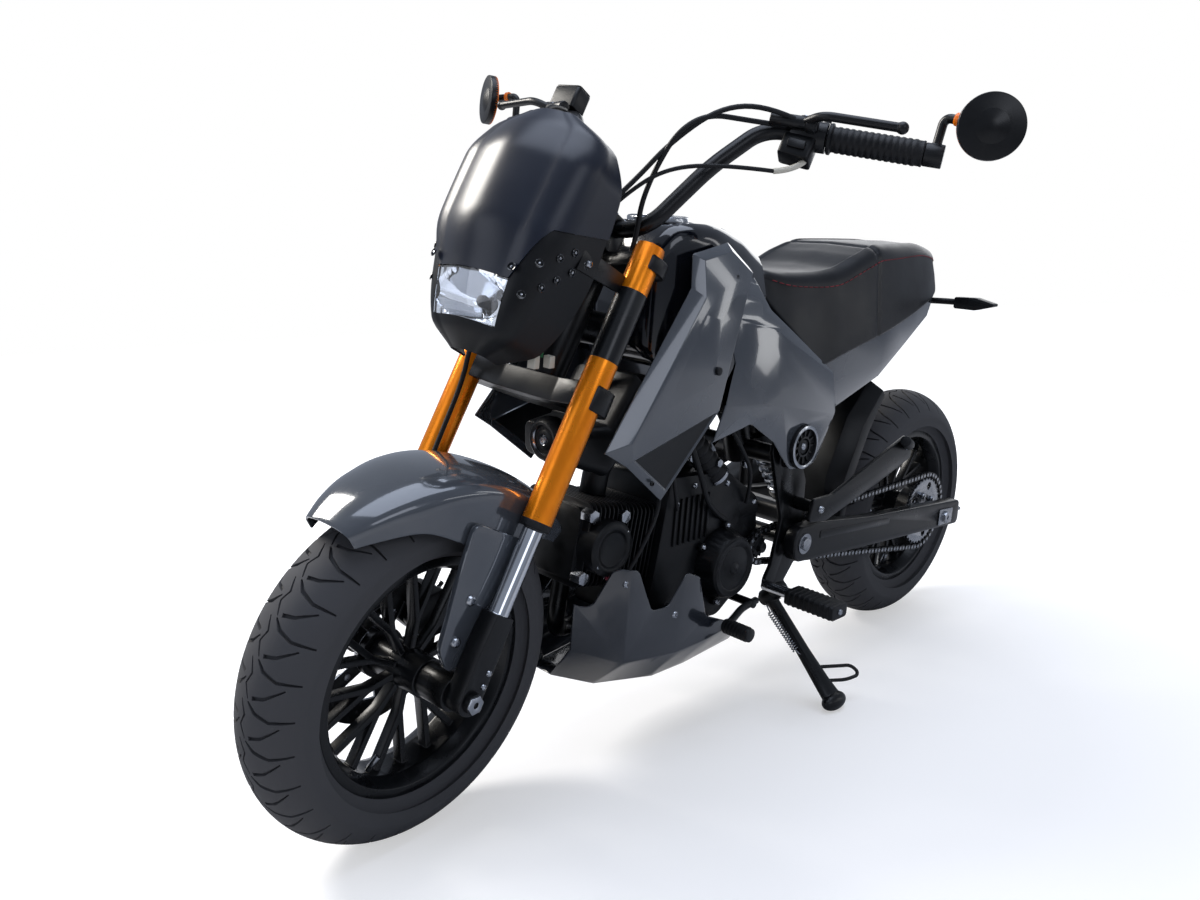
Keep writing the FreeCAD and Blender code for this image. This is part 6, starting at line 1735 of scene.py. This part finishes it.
@dataclass
class Studio:
    """Pale floor, soft lamps and the camera at the photograph's angle."""

    shop: Workshop
    eye: tuple[float, float, float] = (1013.739, -690.039, 838.003)
    azimuth: float = 44.4157
    height: float = 13.952
    roll: float = 3.117
    lens: float = 30.083
    lamps: tuple = (
        ("sky_box", (0.3, -0.2, 3.2), (2.2, 2.8), 54, "#e2ecff"),
        ("sun_box", (-2.3, -1.3, 2.7), (1.3, 1.3), 120, "#fffaf2"),
        ("near_box", (3.0, -1.0, 1.9), (1.0, 2.0), 11, "#eef3ff"),
        ("front_box", (-0.6, -3.4, 1.6), (1.6, 1.6), 10, "#eef3ff"),
        ("tall_strip", (2.1, 2.3, 0.95), (0.3, 1.8), 4, "#ffffff"),
        ("slim_strip", (2.9, 1.4, 1.0), (0.22, 1.8), 3, "#ffffff"),
        ("rear_box", (-1.0, 3.2, 1.8), (2.0, 2.0), 24, "#ffffff"))

    def floor(self) -> None:
        """Lay the floor: pale paper with a painted glow for the eye, weaker near the bike and full from two metres out,
        so it reads white far off and darker round the bike, where the shadow stays.
        """
        bm = bmesh.new()
        bmesh.ops.create_grid(bm, x_segments=1, y_segments=1, size=30)
        data = bpy.data.meshes.new("floor")
        bm.to_mesh(data)
        bm.free()
        piece = placed("floor", data)
        material, tree, shader = new_material("pale_paper")
        connect(tree, shader, {"Base Color": linear("#c6c6c8"), "Roughness": 0.9, "Specular IOR Level": 0.1})
        # Painted light: a glow seen by the camera and through glass, 0.46 within half a metre of the middle and rising
        # to full white at two metres
        place = add_node(tree, "ShaderNodeTexCoord")
        away = add_node(tree, "ShaderNodeVectorMath", {0: place.outputs["Object"]}, operation="LENGTH")
        glow_by_distance = add_node(tree, "ShaderNodeMapRange", {"Value": away.outputs["Value"], "From Min": 0.5, "From Max": 2.0,
                                                     "To Min": 0.46, "To Max": 1.0})
        lift = add_node(tree, "ShaderNodeMath", {0: seen_ray(tree), 1: glow_by_distance.outputs["Result"]}, operation="MULTIPLY")
        shine = add_node(tree, "ShaderNodeEmission", {"Color": (1, 1, 1, 1), "Strength": lift.outputs[0]})
        both = add_node(tree, "ShaderNodeAddShader", {0: shader.outputs[0], 1: shine.outputs[0]})
        tree.links.new(both.outputs[0], tree.nodes["Material Output"].inputs["Surface"])
        data.materials.append(material)

    def world(self) -> None:
        """Light the room evenly and show it white to the camera and through glass."""
        world = bpy.data.worlds.new("studio")
        bpy.context.scene.world = world
        world.use_nodes = True
        tree = world.node_tree
        mix = add_node(tree, "ShaderNodeMix", {"Factor": seen_ray(tree), 6: (0.26, 0.29, 0.35, 1), 7: (1, 1, 1, 1)},
                       data_type="RGBA")
        connect(tree, tree.nodes["Background"], {"Color": mix.outputs[2], "Strength": 1.0})

    def lamp(self, name: str, at: Sequence[float], size: tuple[float, float], power: float, colour: str) -> None:
        """Hang one soft box that faces the bike's middle."""
        data = bpy.data.lights.new(name, "AREA")
        data.shape = "RECTANGLE"
        data.size, data.size_y = size
        data.energy = power
        data.color = linear(colour)[:3]
        lamp = placed(name, data)
        spot = Vector(at)
        lamp.matrix_world = turned((spot - Vector((0, 0, 0.5))).normalized(), spot)

    def camera(self) -> None:
        """Set the camera where the photograph was taken from."""
        az, el, roll = map(math.radians, (self.azimuth, self.height, self.roll))
        look = Vector((-math.sin(az) * math.cos(el), math.cos(az) * math.cos(el), -math.sin(el)))
        right = look.cross(Vector((0, 0, 1))).normalized()
        up = right.cross(look)
        right, up = math.cos(roll) * right + math.sin(roll) * up, math.cos(roll) * up - math.sin(roll) * right
        space = self.shop.spaces[Space.BIKE]
        turn = space.to_3x3().normalized()
        columns = Matrix((turn @ right, turn @ up, turn @ -look)).transposed().to_4x4()
        data = bpy.data.cameras.new("camera")
        data.lens = self.lens
        data.sensor_width = 36
        data.sensor_fit = "HORIZONTAL"
        data.clip_start = 0.01
        data.clip_end = 100
        camera = placed("camera", data)
        camera.matrix_world = Matrix.Translation(space @ Vector(self.eye)) @ columns
        bpy.context.scene.camera = camera

    def build(self) -> None:
        """Build the studio."""
        self.floor()
        self.world()
        self.camera()
        for row in self.lamps:
            self.lamp(*row)
        bpy.context.scene.view_settings.view_transform = "Standard"


def main() -> None:
    """Build the bike, the studio and the camera."""
    logging.basicConfig(level=logging.INFO, format="%(message)s")
    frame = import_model()
    shop = Workshop(frame)
    parts = [
        Wheel(shop, "front", "front_wheel", 236, 59, 62, 42, Vector(), Space.FORK),
        Wheel(shop, "rear", "rear_wheel", 243, 65, 68, 46, Vector(REAR_HUB), Space.BIKE),
        Fork(shop), Fender(shop), Mask(shop), Bodywork(shop), Seat(shop), Engine(shop), Drive(shop), Cockpit(shop),
        Footwork(shop), Tail(shop), Studio(shop),
    ]
    for part in parts:
        part.build()
        LOG.info("built %s", type(part).__name__)


if __name__ == "__main__":
    main()
